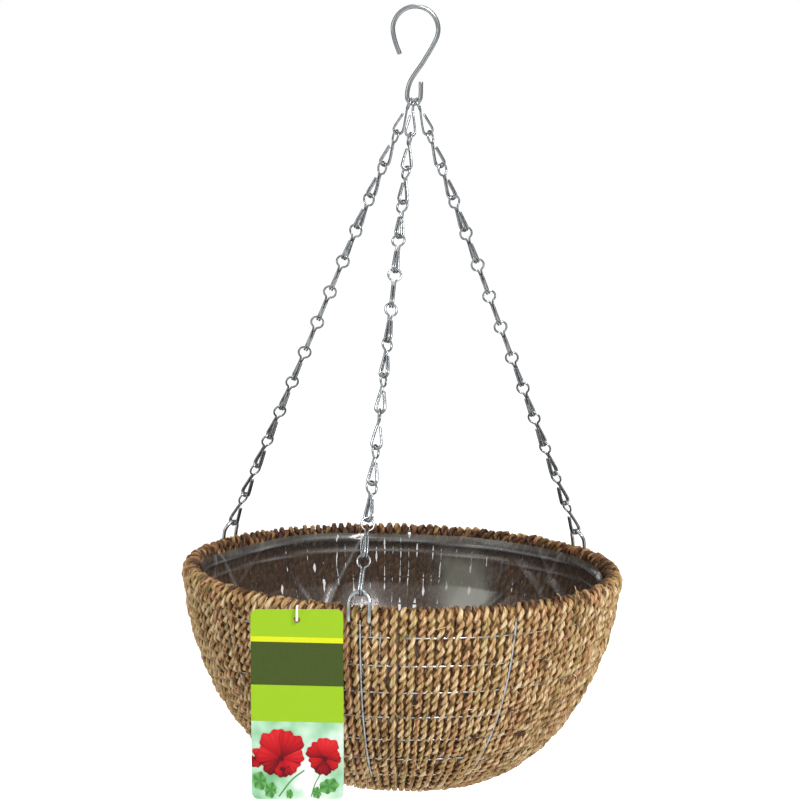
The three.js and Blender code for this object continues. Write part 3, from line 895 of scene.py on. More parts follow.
def chain_places(scene, name):
    """The pitch, the seat and each link's centre and axes, from the hook's eye to the clip."""
    chain, hook = scene.basket_chain, scene.basket_hook
    _, eye_r, eye_z = eye_sizes(scene)
    ring_r = chain.ring + chain.wire
    leg = chain.wire + 0.5 * chain.leg_gap
    seat = math.sqrt((ring_r - 2 * chain.wire - chain.play) ** 2 - leg**2)
    clip = around(CLIP_AZ[name], CLIP_TOP_R, RIM_Z + CLIP_TOP)
    pull = unit(clip - (0, 0, eye_z - eye_r))
    lift = chain.wire + hook.wire + chain.eye_play
    x = CHAIN_SIDE[name] * (2 * chain.wire + chain.ring_gap) + lift * pull[0]
    eye = np.array([x, 0, eye_z - math.sqrt(eye_r**2 - x**2)])
    up = unit(eye - clip)
    first = ring_r - lift
    last = chain.wire + CLIP_WIRE + CLIP_PLAY
    pitch = (np.linalg.norm(eye - clip) - first + seat + last) / chain.links
    places = []
    for n in range(1, chain.links + 1):
        face = around(facing(name, n, chain.links), 1, 0)
        face = unit(face - np.dot(face, up) * up)
        centre = eye - up * (first + (n - 1) * pitch)
        places.append((centre, np.array([np.cross(face, up), face, up])))
    return pitch, seat, places


class BASKET_OT_hook(bpy.types.Operator):
    """Bends the hook from one round wire"""

    bl_idname = "basket.hook"
    bl_label = "Hook"

    def execute(self, context):
        parts = Gather()
        wire = context.scene.basket_hook.wire
        parts.tube(wire_rings(hook_line(context.scene), wire, 14))
        made = parts.build("hook_bent_wire", steel_material("hook_zinc", 0.12, 210.0, 1.0))
        finish_piece(made, "hook", "hook_wire", "hook")
        return {"FINISHED"}


class BASKET_OT_chains(bpy.types.Operator):
    """Bends every link of the three chains and hangs each on the one above"""

    bl_idname = "basket.chains"
    bl_label = "Chains"

    def execute(self, context):
        chain = context.scene.basket_chain
        steel = steel_material("chain_zinc", 0.26, 320.0)
        for name in CHAIN_SIDE:
            pitch, seat, places = chain_places(context.scene, name)
            rings = wire_rings(link_line(chain, pitch, seat), LINK_THINNED * chain.wire)
            for n, (centre, axes) in enumerate(places, 1):
                parts = Gather()
                parts.tube(rings @ axes + centre)
                made = parts.build(f"{name}_chain_link_{n:02d}", steel)
                finish_piece(made, f"{name}_link_{n:02d}", "chain_wire", f"chain_{name}_link_{n:02d}")
        return {"FINISHED"}


class BASKET_OT_clips(bpy.types.Operator):
    """Bends the three clips that straddle the rim"""

    bl_idname = "basket.clips"
    bl_label = "Rim Clips"

    def execute(self, context):
        steel = steel_material("clip_zinc", 0.12, 260.0, 1.35)
        for name, az in CLIP_AZ.items():
            parts = Gather()
            parts.tube(wire_rings(clip_line(az), CLIP_WIRE, 12))
            made = parts.build(f"rim_staple_{name}", steel)
            finish_piece(made, "basket", "clip_wire", f"rim_clip_{name}")
        return {"FINISHED"}


# ---- cage and weave ------------------------------------------------------------------------------
def hoop(r, z, wire):
    """Sections of a wire bent into a level ring."""
    return wire_rings(around(np.arange(0, 360, 2), r, z), wire, closed=True)


class BASKET_OT_cage(bpy.types.Operator):
    """Makes the rim wire and the cage of rings and ribs that the rope is woven round"""

    bl_idname = "basket.cage"
    bl_label = "Wire Cage"

    def execute(self, context):
        cage = context.scene.basket_cage
        steel = steel_material("cage_zinc", 0.22, 150.0, 1.25)
        rim = Gather()
        rim.tube(hoop(RIM_R - RIM_WIRE_IN, RIM_Z - RIM_WIRE_DEPTH, cage.rim_wire))
        finish_piece(rim.build("rim_hoop", steel, True), "basket", "frame_wire", "rim_wire")
        parts = Gather()
        depths = ring_depths(cage)
        for depth in depths:
            r, down = off_wall(depth, -RING_IN)
            parts.tube(hoop(r, RIM_Z - down, cage.ring_wire))
        for n in range(cage.ribs):
            az = CLIP_AZ["front"] + 360 * n / cage.ribs
            run = np.linspace(RIM_BAND - 0.004, depths[-1] + 0.002, 60)
            at = off_wall(run, -BARE_RIB_IN if n in BARE_RIBS else -RIB_IN)
            parts.tube(wire_rings(around(az, at[:, 0], RIM_Z - at[:, 1]), cage.rib_wire))
        made = parts.build("cage_rings_and_ribs", steel, True)
        finish_piece(made, "basket", "frame_wire", "wire_cage")
        return {"FINISHED"}


def rope_profile(thick):
    """The rope's centre line in the wall's section, from the bottom up, over the rim and inside."""
    half = 0.5 * thick
    share = np.sin(0.5 * math.pi * np.linspace(1, 0, 24))
    wall = off_wall(RIM_BAND + (BOWL_DEPTH - 0.0006 - RIM_BAND) * share, -half)
    r = RIM_R
    fold = [
        (r - half, 0.010),
        (r - half - 0.0011, 0.0055),
        (r - 0.0068, half),
        (r - 0.0100, half + 0.0013),
        (r - 0.0110, 0.0080),
        (r - 0.0110, 0.0125),
        (r - 0.0105, 0.0170),
    ]
    start = [(BASE_R - 0.006, BOWL_DEPTH - half)]
    return even(smooth_line(np.vstack([start, wall, fold]), 0.001), ROPE_STEP)


def strand_tints(run, dice):
    """Brightness and hue along one strand of grass."""
    bright = 0.54 + dice.gauss(0, 0.12) + 0.16 * wobble(run, dice, 0.03, 0.11)
    bright = bright + 0.22 * wobble(run, dice, 0.009, 0.022)
    return bright, dice.random() + 0.10 * wobble(run, dice, 0.04, 0.09)


def twist_rope(parts, line, across, out, half_width, half_thick, lay, age, dice):
    """Strands of grass twisted round each other along a line, with flat blades laid behind; the grooves
    between strands and blades carry painted shade.
    """
    run = run_of(line)
    age = np.broadcast_to(age, len(line))[:, None]
    back = line - CORE_IN * half_thick[:, None] * out
    flat = [CORE_WIDE * half_width[:, None] * across, CORE_THICK * half_thick[:, None] * out]
    corners = np.array([(-1, -1), (1, -1), (1, 1), (-1, 1)])
    rings = back[:, None] + np.einsum("kc,ncx->nkx", corners, np.stack(flat, 1))
    # The flat blades block light through the gaps between ropes, and their low brightness and light
    # share paint those gaps dark brown as shade.
    tint = np.tile((0.25, dice.random(), 0.25), (4 * len(line), 1))
    parts.tube(rings, tint=tint, fibre=rings.reshape(-1, 3))
    rate = lay * dice.uniform(0.88, 1.14)
    turn = math.tau * (run / rate + 0.06 * wobble(run, dice, 0.02, 0.05)) + dice.uniform(0, math.tau)
    a = math.tau * np.arange(STRAND_SIDES) / STRAND_SIDES
    for strand in range(STRANDS):
        angle = turn + math.tau * strand / STRANDS
        puff = 1 + 0.07 * wobble(run, dice, 0.008, 0.03)
        width, thick = half_width * puff, half_thick * puff
        aside = STRAND_OUT * np.cos(angle) * half_width
        ahead = STRAND_OUT * np.sin(angle) * half_thick
        centre = line + aside[:, None] * across + ahead[:, None] * out
        spin = a[None, :] + BLADE_TURN * turn[:, None]
        ridge = np.cos(STRAND_LOBES * spin)
        lobe = 1 + 0.17 * ridge
        sideways = STRAND_HALF * width[:, None] * lobe * np.cos(a)
        outward = STRAND_HALF * thick[:, None] * lobe * np.sin(a)
        rings = (
            centre[:, None]
            + sideways[:, :, None] * across[:, None]
            + outward[:, :, None] * out[:, None]
        )
        bright, hue = strand_tints(run, dice)
        # Painted shade: a strand is darkened where it turns under its neighbour, in the grooves between
        # its blades, and inside the rim.
        proud = STRAND_OUT * np.sin(angle)[:, None] + STRAND_HALF * lobe * np.sin(a)
        painted_light_share = soft_step(proud, -0.10, 0.80) * (0.66 + 0.34 * ridge) * (1 - 0.9 * age)
        tint = np.stack(np.broadcast_arrays(bright[:, None] - age, hue[:, None], painted_light_share), -1)
        fibre = np.stack([0.002 * np.cos(spin), 0.002 * np.sin(spin), run[:, None] + 0 * spin], -1)
        fibre += [dice.uniform(0, 3) for _ in range(3)]
        parts.tube(rings, tint=tint.reshape(-1, 3), fibre=fibre.reshape(-1, 3))


def column_places(weave, cage):
    """Each column's bay, its place in the bay, its azimuth and its share of the bay in degrees."""
    bay = 360 / cage.ribs
    gap = math.degrees(0.5 * weave.rib_gap / RIM_R)
    for n in range(cage.ribs):
        before, after = (gap * (rib % cage.ribs in BARE_RIBS) for rib in (n, n + 1))
        pitch = (bay - before - after) / weave.columns
        for k in range(weave.columns):
            yield n, k, CLIP_AZ["front"] + n * bay + before + (k + 0.5) * pitch, pitch


def parting_list(weave, dice):
    """Places where two neighbouring ropes stand apart: azimuth, depth, width and height."""
    places = [(dice.uniform(-180, 180), 0) for _ in range(weave.partings)]
    for az, spread, count in LOOSE_PLACES:
        places += [(az, spread) for _ in range(count)]
    for az, spread in places:
        yield (
            az + dice.uniform(-spread, spread),
            BOWL_DEPTH * dice.choice(PARTING_ROWS) + dice.uniform(-0.004, 0.004),
            dice.uniform(0.0007, 0.0013),
            dice.uniform(0.0016, 0.0040),
        )


class Upright:
    """The line that every upright rope follows, and what changes along it."""

    def __init__(self, weave, cage):
        profile = rope_profile(weave.thick)
        self.r, self.depth = profile[:, 0], profile[:, 1]
        self.run = run_of(profile)
        ahead = unit(np.gradient(profile, axis=0))
        self.out_r, self.out_down = -ahead[:, 1], ahead[:, 0]
        on_wall = np.arange(len(profile)) < int(np.argmin(self.depth))
        drawn_in = (np.exp(-0.5 * ((self.depth - d) / RING_REACH) ** 2) for d in ring_depths(cage))
        self.pinch = sum(drawn_in) * on_wall
        inside = self.run[~on_wall][0]
        # Painted shade: the rope is darkened where it runs down inside the rim.
        self.age = INSIDE_SHADE * soft_step(self.run, inside - 0.006, self.run[-1] - 0.012)


def pushed_aside(straying, depth, az, pitch, partings):
    """A rope's straying in degrees, with the partings beside it added."""
    for part_az, part_depth, gap, tall in partings:
        apart = ((az - part_az + 180) % 360 - 180) / pitch
        if abs(apart) < 1.5:
            aside = math.copysign(1.5 - abs(apart), apart) * math.degrees(gap / RIM_R)
            straying = straying + aside * np.exp(-0.5 * ((depth - part_depth) / tall) ** 2)
    return straying


def lay_rope(parts, weave, upright, column, az, pitch, partings, dice):
    """One rope up the wall. In each group of three, the middle one ends before the narrow bottom."""
    run, pinch = upright.run, upright.pinch
    left_over = column >= weave.columns - weave.columns % 3
    ends_early = column % 3 == 1 and not left_over
    low_end = dice.uniform(0.020, 0.036)
    narrow = 1 - soft_step(run, low_end + 0.020, low_end + 0.055)
    keep = run > (low_end + 0.012 if ends_early else -1)
    inward = 0 if left_over else (0.25, 0.0, -0.25)[column % 3]
    straying = math.degrees(weave.wander / RIM_R) * wobble(run, dice, 0.025, 0.09)
    straying = pushed_aside(straying, upright.depth, az, pitch, partings)
    azimuth = az + inward * pitch * narrow + straying
    dive = -0.0045 * narrow if ends_early else 0
    moved_out = (
        dive
        - weave.pinch * pinch
        + 0.8 * weave.wander * wobble(run, dice, 0.02, 0.07)
        + dice.uniform(-0.0003, 0.0002)
    )
    r = upright.r + upright.out_r * moved_out
    z = RIM_Z - (upright.depth + upright.out_down * moved_out)
    line = around(azimuth, r, z)[keep]
    across = -around(azimuth + 90, 1.0, 0.0)[keep]
    out = unit(around(azimuth, upright.out_r, -upright.out_down))[keep]
    half_width = np.radians(pitch) * 0.5 * np.minimum(upright.r, RIM_R - 0.5 * weave.thick)
    half_thick = 0.5 * weave.thick * (1.0 - 0.10 * pinch)
    if ends_early:
        half_thick = half_thick * (1 - 0.5 * narrow)
    else:
        half_width = half_width * (1 + 0.45 * narrow)
    half_width = half_width * (1.03 - 0.13 * pinch)
    sizes = half_width[keep], half_thick[keep], weave.lay
    twist_rope(parts, line, across, out, *sizes, upright.age[keep], dice)


class BASKET_OT_weave(bpy.types.Operator):
    """Twists the rope and lays it down the wall, over the rim and back inside, bay by bay"""

    bl_idname = "basket.weave"
    bl_label = "Rope Weave"

    def execute(self, context):
        weave, cage = context.scene.basket_weave, context.scene.basket_cage
        dice = random.Random(41)
        upright = Upright(weave, cage)
        partings = list(parting_list(weave, dice))
        straw = straw_material("twisted_grass", 0.8)
        bays = [Gather() for _ in range(cage.ribs)]
        for bay, column, az, pitch in column_places(weave, cage):
            lay_rope(bays[bay], weave, upright, column, az, pitch, partings, dice)
        for n, parts in enumerate(bays, 1):
            made = parts.build(f"grass_rope_bay_{n}", straw, True)
            finish_piece(made, "basket", "grass", "grass_weave")
        return {"FINISHED"}


class BASKET_OT_base(bpy.types.Operator):
    """Coils the rope that closes the basket's bottom"""

    bl_idname = "basket.base"
    bl_label = "Base Coil"

    def execute(self, context):
        weave = context.scene.basket_weave
        dice = random.Random(7)
        pitch = COIL_PITCH * weave.thick
        turns = COIL_EDGE_R / pitch + 1.03
        angle = np.linspace(0.16 * math.tau, turns * math.tau, 900)
        r = np.minimum(pitch * angle / math.tau, COIL_EDGE_R)
        z = WEAVE_LOW.z + 0.5 * weave.thick + 0.0002
        line = even(around(np.degrees(angle), r, z), ROPE_STEP)
        ahead = unit(np.gradient(line, axis=0))
        out = np.tile((0.0, 0.0, -1.0), (len(line), 1))
        across = np.cross(out, ahead)
        parts = Gather()
        half = np.full(len(line), 0.5 * weave.thick)
        # The base coil is drawn a little darker all over.
        twist_rope(parts, line, across, out, half, 0.95 * half, weave.lay, 0.1, dice)
        made = parts.build("grass_base_coil", straw_material("twisted_grass", 0.8), True)
        finish_piece(made, "basket", "grass", "grass_weave")
        return {"FINISHED"}


class BASKET_OT_strays(bpy.types.Operator):
    """Adds the loose ends of grass that stand out of the rope"""

    bl_idname = "basket.strays"
    bl_label = "Stray Fibres"

    def execute(self, context):
        weave = context.scene.basket_weave
        dice = random.Random(23)
        parts = Gather()
        for _ in range(weave.strays):
            depth = BOWL_DEPTH * dice.uniform(-0.02, 0.96)
            az = dice.uniform(-180, 180)
            r, down = off_wall(max(depth, 0.002), -0.0006)
            root = around(az, r, RIM_Z - down)
            outward = unit(around(az, 1.0, dice.uniform(-0.3, 0.5)))
            lean = unit(around(az + 90, dice.uniform(-1, 1), dice.uniform(-1.2, 1.2)))
            size = dice.uniform(0.004, 0.011)
            lift = dice.uniform(0.05, 0.34)
            points = [
                root - 0.0008 * outward,
                root + 0.35 * size * lean + 0.7 * lift * size * outward,
                root + 0.75 * size * lean + lift * size * outward,
                root + size * lean + dice.uniform(0.3, 1.2) * lift * size * outward,
            ]
            radius = dice.uniform(0.00012, 0.00024)
            rings = wire_rings(smooth_line(points, 0.0012), radius, 4, end=0.4)
            count = rings.shape[0] * rings.shape[1]
            tint = np.tile((dice.uniform(0.5, 1.0), dice.random(), 1.0), (count, 1))
            parts.tube(rings, tint=tint, fibre=rings.reshape(-1, 3))
        made = parts.build("stray_grass_fibres", straw_material("loose_grass", 0.1))
        finish_piece(made, "basket", "grass")
        return {"FINISHED"}


# ---- liner ---------------------------------------------------------------------------------------
def film_profile(liner):
    """Radius and depth of the film from its edge down to the middle of the bottom."""
    depth = np.linspace(RIM_BAND, BOWL_DEPTH - 0.001, 60)
    wall = off_wall(depth, -liner.inset)
    floor = BOWL_DEPTH - liner.inset
    wall = wall[wall[:, 1] < floor - 0.002]
    wall[:, 0] = np.minimum(wall[:, 0], RIM_INSIDE_R - 0.0008)
    points = np.vstack([[RIM_INSIDE_R - 0.0008, liner.top], wall, [0.045, floor], [0.004, floor]])
    return even(smooth_line(points, 0.001), 0.0018)


def film_waves(turn, rows):
    """Soft waves of the film, in metres off the wall."""
    stand = 0.0009 * (1 + np.sin(turn * 5 + 30 * rows))
    return stand + 0.0006 * (1 + np.sin(turn * 11 - 55 * rows + 1.3))


def film_crease(liner, along_wall, rows, dice):
    """One sharp crease: how high it stands and how strong the painted highlight along its fold is."""
    whole = math.tau * FILM_R
    middle, height = dice.uniform(0, whole), dice.uniform(0.02, 0.16)
    tilt = math.radians(dice.choice((-1, 1)) * dice.uniform(25, 88))
    reach = dice.uniform(0.03, 0.10)
    width = dice.uniform(0.003, 0.008)
    aside = (along_wall - middle + 0.5 * whole) % whole - 0.5 * whole
    along = aside * math.cos(tilt) + (rows - height) * math.sin(tilt)
    off = -aside * math.sin(tilt) + (rows - height) * math.cos(tilt)
    ridge = np.clip(1 - np.abs(off) / width, 0, 1) ** 1.3
    fade = 1 - soft_step(np.abs(along), 0.5 * reach, reach)
    stand = liner.crease * dice.uniform(0.25, 1) * ridge * fade
    return stand, np.clip(1 - np.abs(off) / 0.0016, 0, 1) * fade * dice.uniform(0.1, 0.9)


def film_sheen(az, rows):
    """How much painted sheen the film has: the listed places and the band under its edge."""
    painted_sheen = 0.42 * (1 - soft_step(rows, 0.003, 0.009)) + 0 * az
    for middle, height, wide, tall, thick in SHEEN_PLACES:
        aside = (az - middle + 180) % 360 - 180
        near = np.exp(-((aside / wide) ** 2)) * np.exp(-(((rows - height) / tall) ** 2))
        painted_sheen = np.maximum(painted_sheen, thick * near)
    return painted_sheen


def film_field(liner, az, run, dice):
    """How far the film stands in from the wall, and its look: painted highlights along folds and hems,
    and painted sheen.
    """
    turn, rows = np.radians(az)[:, None], run[None, :]
    stand = film_waves(turn, rows)
    fold = 0 * stand
    for _ in range(liner.creases):
        crease, bright = film_crease(liner, FILM_R * turn, rows, dice)
        stand = stand + crease
        fold = np.maximum(fold, bright)
    for down, tall in HEMS:
        hem = down + 0.0016 * np.sin(turn * 3 + 60 * down)
        stand = stand + tall * np.clip(1 - np.abs(rows - hem) / 0.0022, 0, 1)
        # Painted highlight along the hem's fold.
        fold = np.maximum(fold, 0.7 * np.clip(1 - np.abs(rows - hem) / 0.0012, 0, 1))
    fade = soft_step(rows, 0.0, 0.006) * (1 - soft_step(rows, run[-1] - 0.05, run[-1]))
    return stand * fade, np.stack([fold, film_sheen(az[:, None], rows), 0 * fold], -1)


class BASKET_OT_liner(bpy.types.Operator):
    """Lays the creased film that keeps the soil in"""

    bl_idname = "basket.liner"
    bl_label = "Film Liner"

    def execute(self, context):
        liner = context.scene.basket_liner
        dice = random.Random(5)
        profile = film_profile(liner)
        ahead = unit(np.gradient(profile, axis=0))
        az = np.arange(0, 360, 0.75)
        stand, look = film_field(liner, az, run_of(profile), dice)
        edge = 0.0016 * wobble(az / 360 * math.tau * 4, dice, 1.7, 6.0)
        edge = edge[:, None] * (1 - soft_step(run_of(profile), 0.0, 0.02))[None, :]
        r = profile[None, :, 0] - ahead[None, :, 1] * stand
        down = profile[None, :, 1] - ahead[None, :, 0] * stand + 0.8 * edge
        points = around(az[:, None], r, RIM_Z - down)
        columns, rows = points.shape[:2]
        at = np.arange(columns)[:, None] * rows + np.arange(rows - 1)[None, :]
        after = (at + rows) % (columns * rows)
        quads = np.stack([at, at + 1, after + 1, after], -1).reshape(-1, 4).tolist()
        middle = columns * rows
        tip = (np.arange(columns) * rows + rows - 1).tolist()
        fan = [[tip[n], middle, tip[(n + 1) % columns]] for n in range(columns)]
        centre = points[:, -1].mean(0)
        parts = Gather()
        look = np.vstack([look.reshape(-1, 3), (0, 0.5, 0)])
        parts.patch(np.vstack([points.reshape(-1, 3), centre]), quads + fan, look=look)
        made = parts.build("film_liner", film_material())
        finish_piece(made, "basket", "film", "liner")
        return {"FINISHED"}


# ---- label ---------------------------------------------------------------------------------------
def hang_plumb(made, label):
    """Turns the card's mesh about its hole by the small angle that the basket leans."""
    hole = Vector((0.5 * (CARD_LOW.x + CARD_HIGH.x), 0, CARD_HIGH.z - label.hole_down))
    turn = Matrix.Translation(hole) @ Matrix.Rotation(LEAN, 4, "Y") @ Matrix.Translation(-hole)
    made.data.transform(turn)


def card_outline(label):
    """The card's rounded outline and its hole, as x and z."""
    low, high, r = CARD_LOW, CARD_HIGH, label.corner
    outline = []
    corners = [(high.x, high.z, 0), (low.x, high.z, 90), (low.x, low.z, 180), (high.x, low.z, 270)]
    for x, z, start in corners:
        cx = x - r if x == high.x else x + r
        cz = z - r if z == high.z else z + r
        for n in range(9):
            c, s = turned_about(start + 90 * n / 8)
            outline.append((cx + r * c, cz + r * s))
    middle = 0.5 * (low.x + high.x)
    hole = []
    for n in range(28):
        c, s = turned_about(-360 * n / 28)
        hole.append((middle + label.hole * c, high.z - label.hole_down + label.hole * s))
    return outline, hole


def flat_petal(parts, centre, layer, aim, size, spread, dice):
    """A notched petal of printed ink, darker towards the flower's eye."""
    rows, columns = 7, 17
    tone = dice.uniform(-0.12, 0.25)
    points, ink = [], []
    for row in range(rows):
        share = row / (rows - 1)
        for column in range(columns):
            side = 2 * column / (columns - 1) - 1
            ruffle = 0.035 * math.sin(11 * side + 5 * aim)
            reach = size * (1 - 0.22 * side**4 - 0.07 * math.exp(-((side / 0.25) ** 2)) + ruffle)
            angle = aim + math.radians(spread) * side * (0.92 + 0.08 * share)
            r = reach * (0.06 + 0.94 * share)
            x = min(CARD_HIGH.x, max(CARD_LOW.x, centre[0] + r * math.cos(angle)))
            points.append((x, layer, centre[1] + r * math.sin(angle)))
            shade = 0.58 * share**0.7 + 0.30 * (side * math.cos(aim) + share * math.sin(aim)) * share
            edge = -0.45 * side**4 * share - 0.25 * share**8
            vein = 0.13 * math.sin(15 * side + aim) * share
            ink.append((0.0, min(1, max(0, tone + shade + edge + vein)), 0))
    faces = []
    for row in range(rows - 1):
        for column in range(columns - 1):
            a = row * columns + column
            faces.append((a, a + columns, a + columns + 1, a + 1))
    parts.patch(points, faces, ink=np.array(ink))


def flat_leaf(parts, centre, layer, aim, size, leaf=1.0):
    """A lobed leaf of printed ink, or the dark eye of a flower where leaf is 0."""
    points, ink = [(centre[0], layer, centre[1])], [(leaf, 0.35 * leaf, 0)]
    for n in range(30):
        angle = math.tau * n / 30
        r = size * (0.84 + 0.08 * math.cos(7 * angle + aim) + 0.14 * math.cos(2 * angle + aim))
        x = min(CARD_HIGH.x, max(CARD_LOW.x, centre[0] + r * math.cos(angle)))
        points.append((x, layer, centre[1] + r * math.sin(angle)))
        ink.append((leaf, leaf * (0.55 + 0.4 * math.cos(5 * angle + aim)), 0))
    faces = [(0, 1 + (n + 1) % 30, 1 + n) for n in range(30)]
    parts.patch(points, faces, ink=np.array(ink))


def flat_stem(parts, points, layer, half):
    """A thin printed stem through points."""
    line = smooth_line(np.array(points), 0.0015)
    ahead = unit(np.gradient(line, axis=0))
    aside = np.stack([-ahead[:, 1], ahead[:, 0]], -1) * half
    both = np.vstack([line + aside, line - aside])
    count = len(line)
    faces = [(n, n + 1, n + 1 + count, n + count) for n in range(count - 1)]
    spots = np.column_stack([both[:, 0], np.full(len(both), layer), both[:, 1]])
    parts.patch(spots, faces, ink=np.tile((1.0, 0.45, 0), (len(both), 1)))


def print_picture(parts, dice):
    """Two open flowers, a bud, stems and leaves, spread over the card's lower part."""
    layers = iter(CARD_LOW.y - 0.00002 * n for n in range(1, 60))

    def at(across, down):
        return CARD_LOW.x + across / 1000, CARD_HIGH.z - down / 1000

    for across, down, size in LEAVES:
        flat_leaf(parts, at(across, down), next(layers), dice.uniform(0, 6), size / 1000)
    for stem, half in STEMS:
        flat_stem(parts, [at(*spot) for spot in stem], next(layers), half / 1000)
    for across, down, petals in BLOOMS:
        for aim, size, spread in petals:
            shape = math.radians(aim), size / 1000, spread
            flat_petal(parts, at(across, down), next(layers), *shape, dice)
        flat_leaf(parts, at(across, down), next(layers), 1.0, 0.0022, 0.0)


def card_mesh(label):
    """The card cut to its outline, with the hole through it."""
    sheet = bmesh.new()
    for loop in card_outline(label):
        verts = [sheet.verts.new((x, CARD_HIGH.y, z)) for x, z in loop]
        for n, vert in enumerate(verts):
            sheet.edges.new((vert, verts[(n + 1) % len(verts)]))
    bmesh.ops.triangle_fill(sheet, use_beauty=True, edges=sheet.edges[:])
    moved = bmesh.ops.extrude_face_region(sheet, geom=sheet.faces[:])
    front = [v for v in moved["geom"] if isinstance(v, bmesh.types.BMVert)]
    bmesh.ops.translate(sheet, vec=(0, CARD_LOW.y - CARD_HIGH.y, 0), verts=front)
    bmesh.ops.recalc_face_normals(sheet, faces=sheet.faces[:])
    mesh = bpy.data.meshes.new("label_printed_card")
    sheet.to_mesh(mesh)
    sheet.free()
    mesh.materials.append(card_material())
    return mesh


def tie_line(label):
    """The tie's route: out of the rope, through the hole, over the card's top and back in."""
    x = 0.5 * (CARD_LOW.x + CARD_HIGH.x)
    hole_z = CARD_HIGH.z - label.hole_down
    rope_y = -math.sqrt(RIM_R**2 - x**2)
    front_y = 0.5 * (CARD_LOW.y + CARD_HIGH.y) - 0.0045
    top = CARD_HIGH.z + 0.0022
    bend = 0.0015
    route = [
        (x, rope_y + 0.0039, hole_z),
        (x, front_y + bend, hole_z),
        (x, front_y, hole_z + bend),
        (x, front_y, top - bend),
        (x, front_y + bend, top),
        (x, rope_y - 0.012, RIM_Z - 0.0022),
        (x, rope_y + 0.0039, RIM_Z - 0.006),
    ]
    return smooth_line(route, 0.0007)


class BASKET_OT_label(bpy.types.Operator):
    """Cuts the hanging card, prints its picture and makes its tie"""

    bl_idname = "basket.label"
    bl_label = "Label"

    def execute(self, context):
        label = context.scene.basket_label
        card = bpy.data.objects.new("label_printed_card", card_mesh(label))
        context.scene.collection.objects.link(card)
        hang_plumb(card, label)
        finish_piece(card, "label", "card", "label_card")

        parts = Gather()
        print_picture(parts, random.Random(11))
        picture = parts.build("label_flower_print", picture_material())
        hang_plumb(picture, label)
        finish_piece(picture, "label", "card")

        loop = Gather()
        loop.tube(wire_rings(tie_line(label), label.tie, 10))
        tie = loop.build("label_plastic_tie", tie_material())
        finish_piece(tie, "basket", "tie", "label_tie")
        return {"FINISHED"}


# ---- stage ---------------------------------------------------------------------------------------
def soft_light(name, place, aim, size, power):
    """A square light at a place, turned to face a point."""
    data = bpy.data.lights.new(name, "AREA")
    data.shape = "SQUARE"
    data.size = size
    data.energy = power
    light = bpy.data.objects.new(name, data)
    light.location = place
    light.rotation_euler = (Vector(aim) - Vector(place)).to_track_quat("-Z", "Y").to_euler()
    bpy.context.scene.collection.objects.link(light)


def level_camera(scene):
    """The camera, a little above the rim and rolled by the basket's lean."""
    target = Vector((-0.005, 0, -0.3057))
    distance, tilt, roll = 2.2, math.radians(7.912), -LEAN
    ahead = Vector((0, math.cos(tilt), -math.sin(tilt)))
    level = Vector((1, 0, 0))
    up = level.cross(ahead)
    right = math.cos(roll) * level + math.sin(roll) * up
    above = math.cos(roll) * up - math.sin(roll) * level
    data = bpy.data.cameras.new("camera")
    data.sensor_width = 36
    data.lens = 125.6
    camera = bpy.data.objects.new("camera", data)
    axes = Matrix((right, above, -ahead)).transposed()
    camera.matrix_world = Matrix.Translation(target - distance * ahead) @ axes.to_4x4()
    scene.collection.objects.link(camera)
    scene.camera = camera


def studio_floor(scene):
    """The pale floor, well under the hanging basket."""
    z = WEAVE_LOW.z - 0.32
    half = 180
    corners = [(x * half, y * half, z) for x, y in ((-1, -1), (1, -1), (1, 1), (-1, 1))]
    mesh = bpy.data.meshes.new("studio_floor")
    mesh.from_pydata(corners, [], [(0, 1, 2, 3)])
    mesh.materials.append(floor_material())
    floor = bpy.data.objects.new("studio_floor", mesh)
    scene.collection.objects.link(floor)
    floor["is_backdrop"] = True


def studio_air(scene):
    """White air, brighter from the front and above than from behind."""
    world = bpy.data.worlds.new("studio_air")
    world.use_nodes = True
    background = world.node_tree.nodes["Background"].inputs
    background["Color"].default_value = (1, 1, 1, 1)
    board = Board(world.node_tree)
    way = board.add("ShaderNodeTexCoord").outputs["Generated"]
    way = board.add("ShaderNodeSeparateXYZ", {"Vector": way}).outputs
    toward_back = board.span(way[1], -0.6, 0.6, 1.0, 0.16)
    overhead = board.span(way[2], -0.2, 0.9, 0.55, 1.0)
    glow = board.math("MULTIPLY", toward_back, overhead)
    seen = board.add("ShaderNodeLightPath").outputs["Is Camera Ray"]
    world.node_tree.links.new(board.math("MAXIMUM", glow, seen), background["Strength"])
    scene.world = world


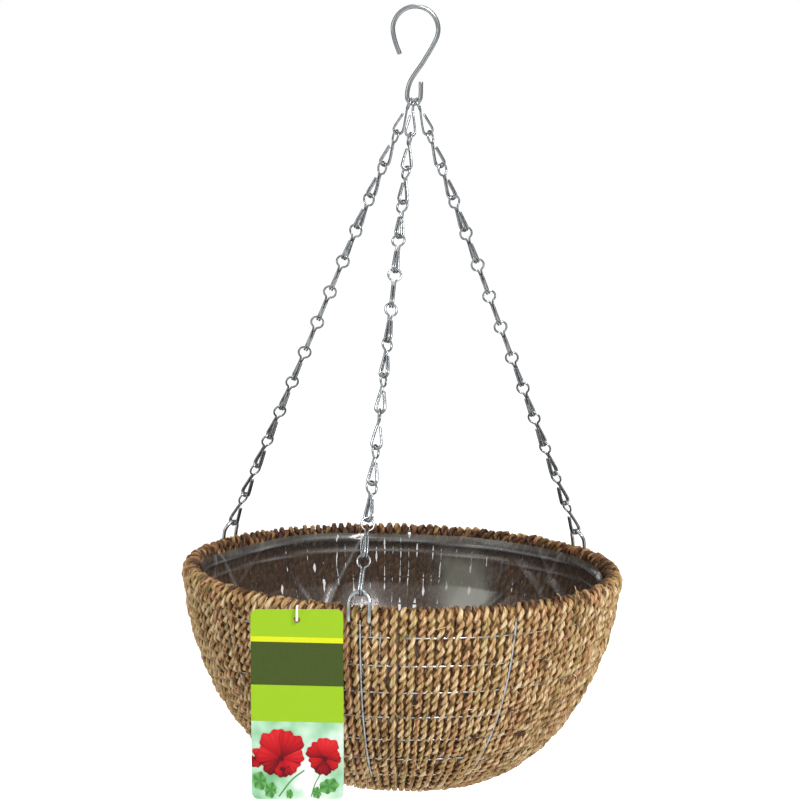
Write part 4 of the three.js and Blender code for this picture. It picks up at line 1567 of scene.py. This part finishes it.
class BASKET_OT_stage(bpy.types.Operator):
    """Sets up the camera, the pale floor and the soft studio light"""

    bl_idname = "basket.stage"
    bl_label = "Stage"

    def execute(self, context):
        scene = context.scene
        level_camera(scene)
        studio_floor(scene)
        middle = (0, 0, 0.5 * (CAD_BOX[0].z + CAD_BOX[1].z))
        soft_light("key_light", (0.9, -1.9, 1.3), middle, 0.9, 62)
        soft_light("fill_light", (-1.9, -1.4, 0.3), middle, 1.4, 10)
        soft_light("top_light", (0.2, 0.5, 1.7), middle, 0.8, 12)
        soft_light("back_light", (-0.4, 2.3, 0.5), middle, 1.4, 9)
        studio_air(scene)
        scene.view_settings.view_transform = "Standard"
        scene.view_settings.look = "None"
        return {"FINISHED"}


class BASKET_PT_panel(bpy.types.Panel):
    """Lists the basket's pieces in the order they are made"""

    bl_idname = "BASKET_PT_panel"
    bl_label = "Hanging Basket"
    bl_space_type = "VIEW_3D"
    bl_region_type = "UI"
    bl_category = "Basket"

    def draw(self, context):
        for operator in OPERATORS:
            self.layout.operator(operator.bl_idname)
        for name, group in SETTINGS.items():
            box = self.layout.box()
            for field in group.__annotations__:
                box.prop(getattr(context.scene, name), field)


OPERATORS = (
    BASKET_OT_stage,
    BASKET_OT_hook,
    BASKET_OT_chains,
    BASKET_OT_clips,
    BASKET_OT_cage,
    BASKET_OT_weave,
    BASKET_OT_base,
    BASKET_OT_strays,
    BASKET_OT_liner,
    BASKET_OT_label,
)


def register():
    for group in SETTINGS.values():
        bpy.utils.register_class(group)
    for name, group in SETTINGS.items():
        setattr(bpy.types.Scene, name, PointerProperty(type=group))
    for cls in (*OPERATORS, BASKET_PT_panel):
        bpy.utils.register_class(cls)


def unregister():
    for cls in (BASKET_PT_panel, *reversed(OPERATORS)):
        bpy.utils.unregister_class(cls)
    for name in SETTINGS:
        delattr(bpy.types.Scene, name)
    for group in reversed(SETTINGS.values()):
        bpy.utils.unregister_class(group)


def build_basket():
    register()
    bpy.ops.basket.stage()
    bpy.ops.basket.hook()
    bpy.ops.basket.chains()
    bpy.ops.basket.clips()
    bpy.ops.basket.cage()
    bpy.ops.basket.weave()
    bpy.ops.basket.base()
    bpy.ops.basket.strays()
    bpy.ops.basket.liner()
    bpy.ops.basket.label()
    sizes = {"cad": CAD_BOX, "visual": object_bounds()}
    {name: [list(corner) for corner in box] for name, box in sizes.items()}


if __name__ == "__main__":
    build_basket()
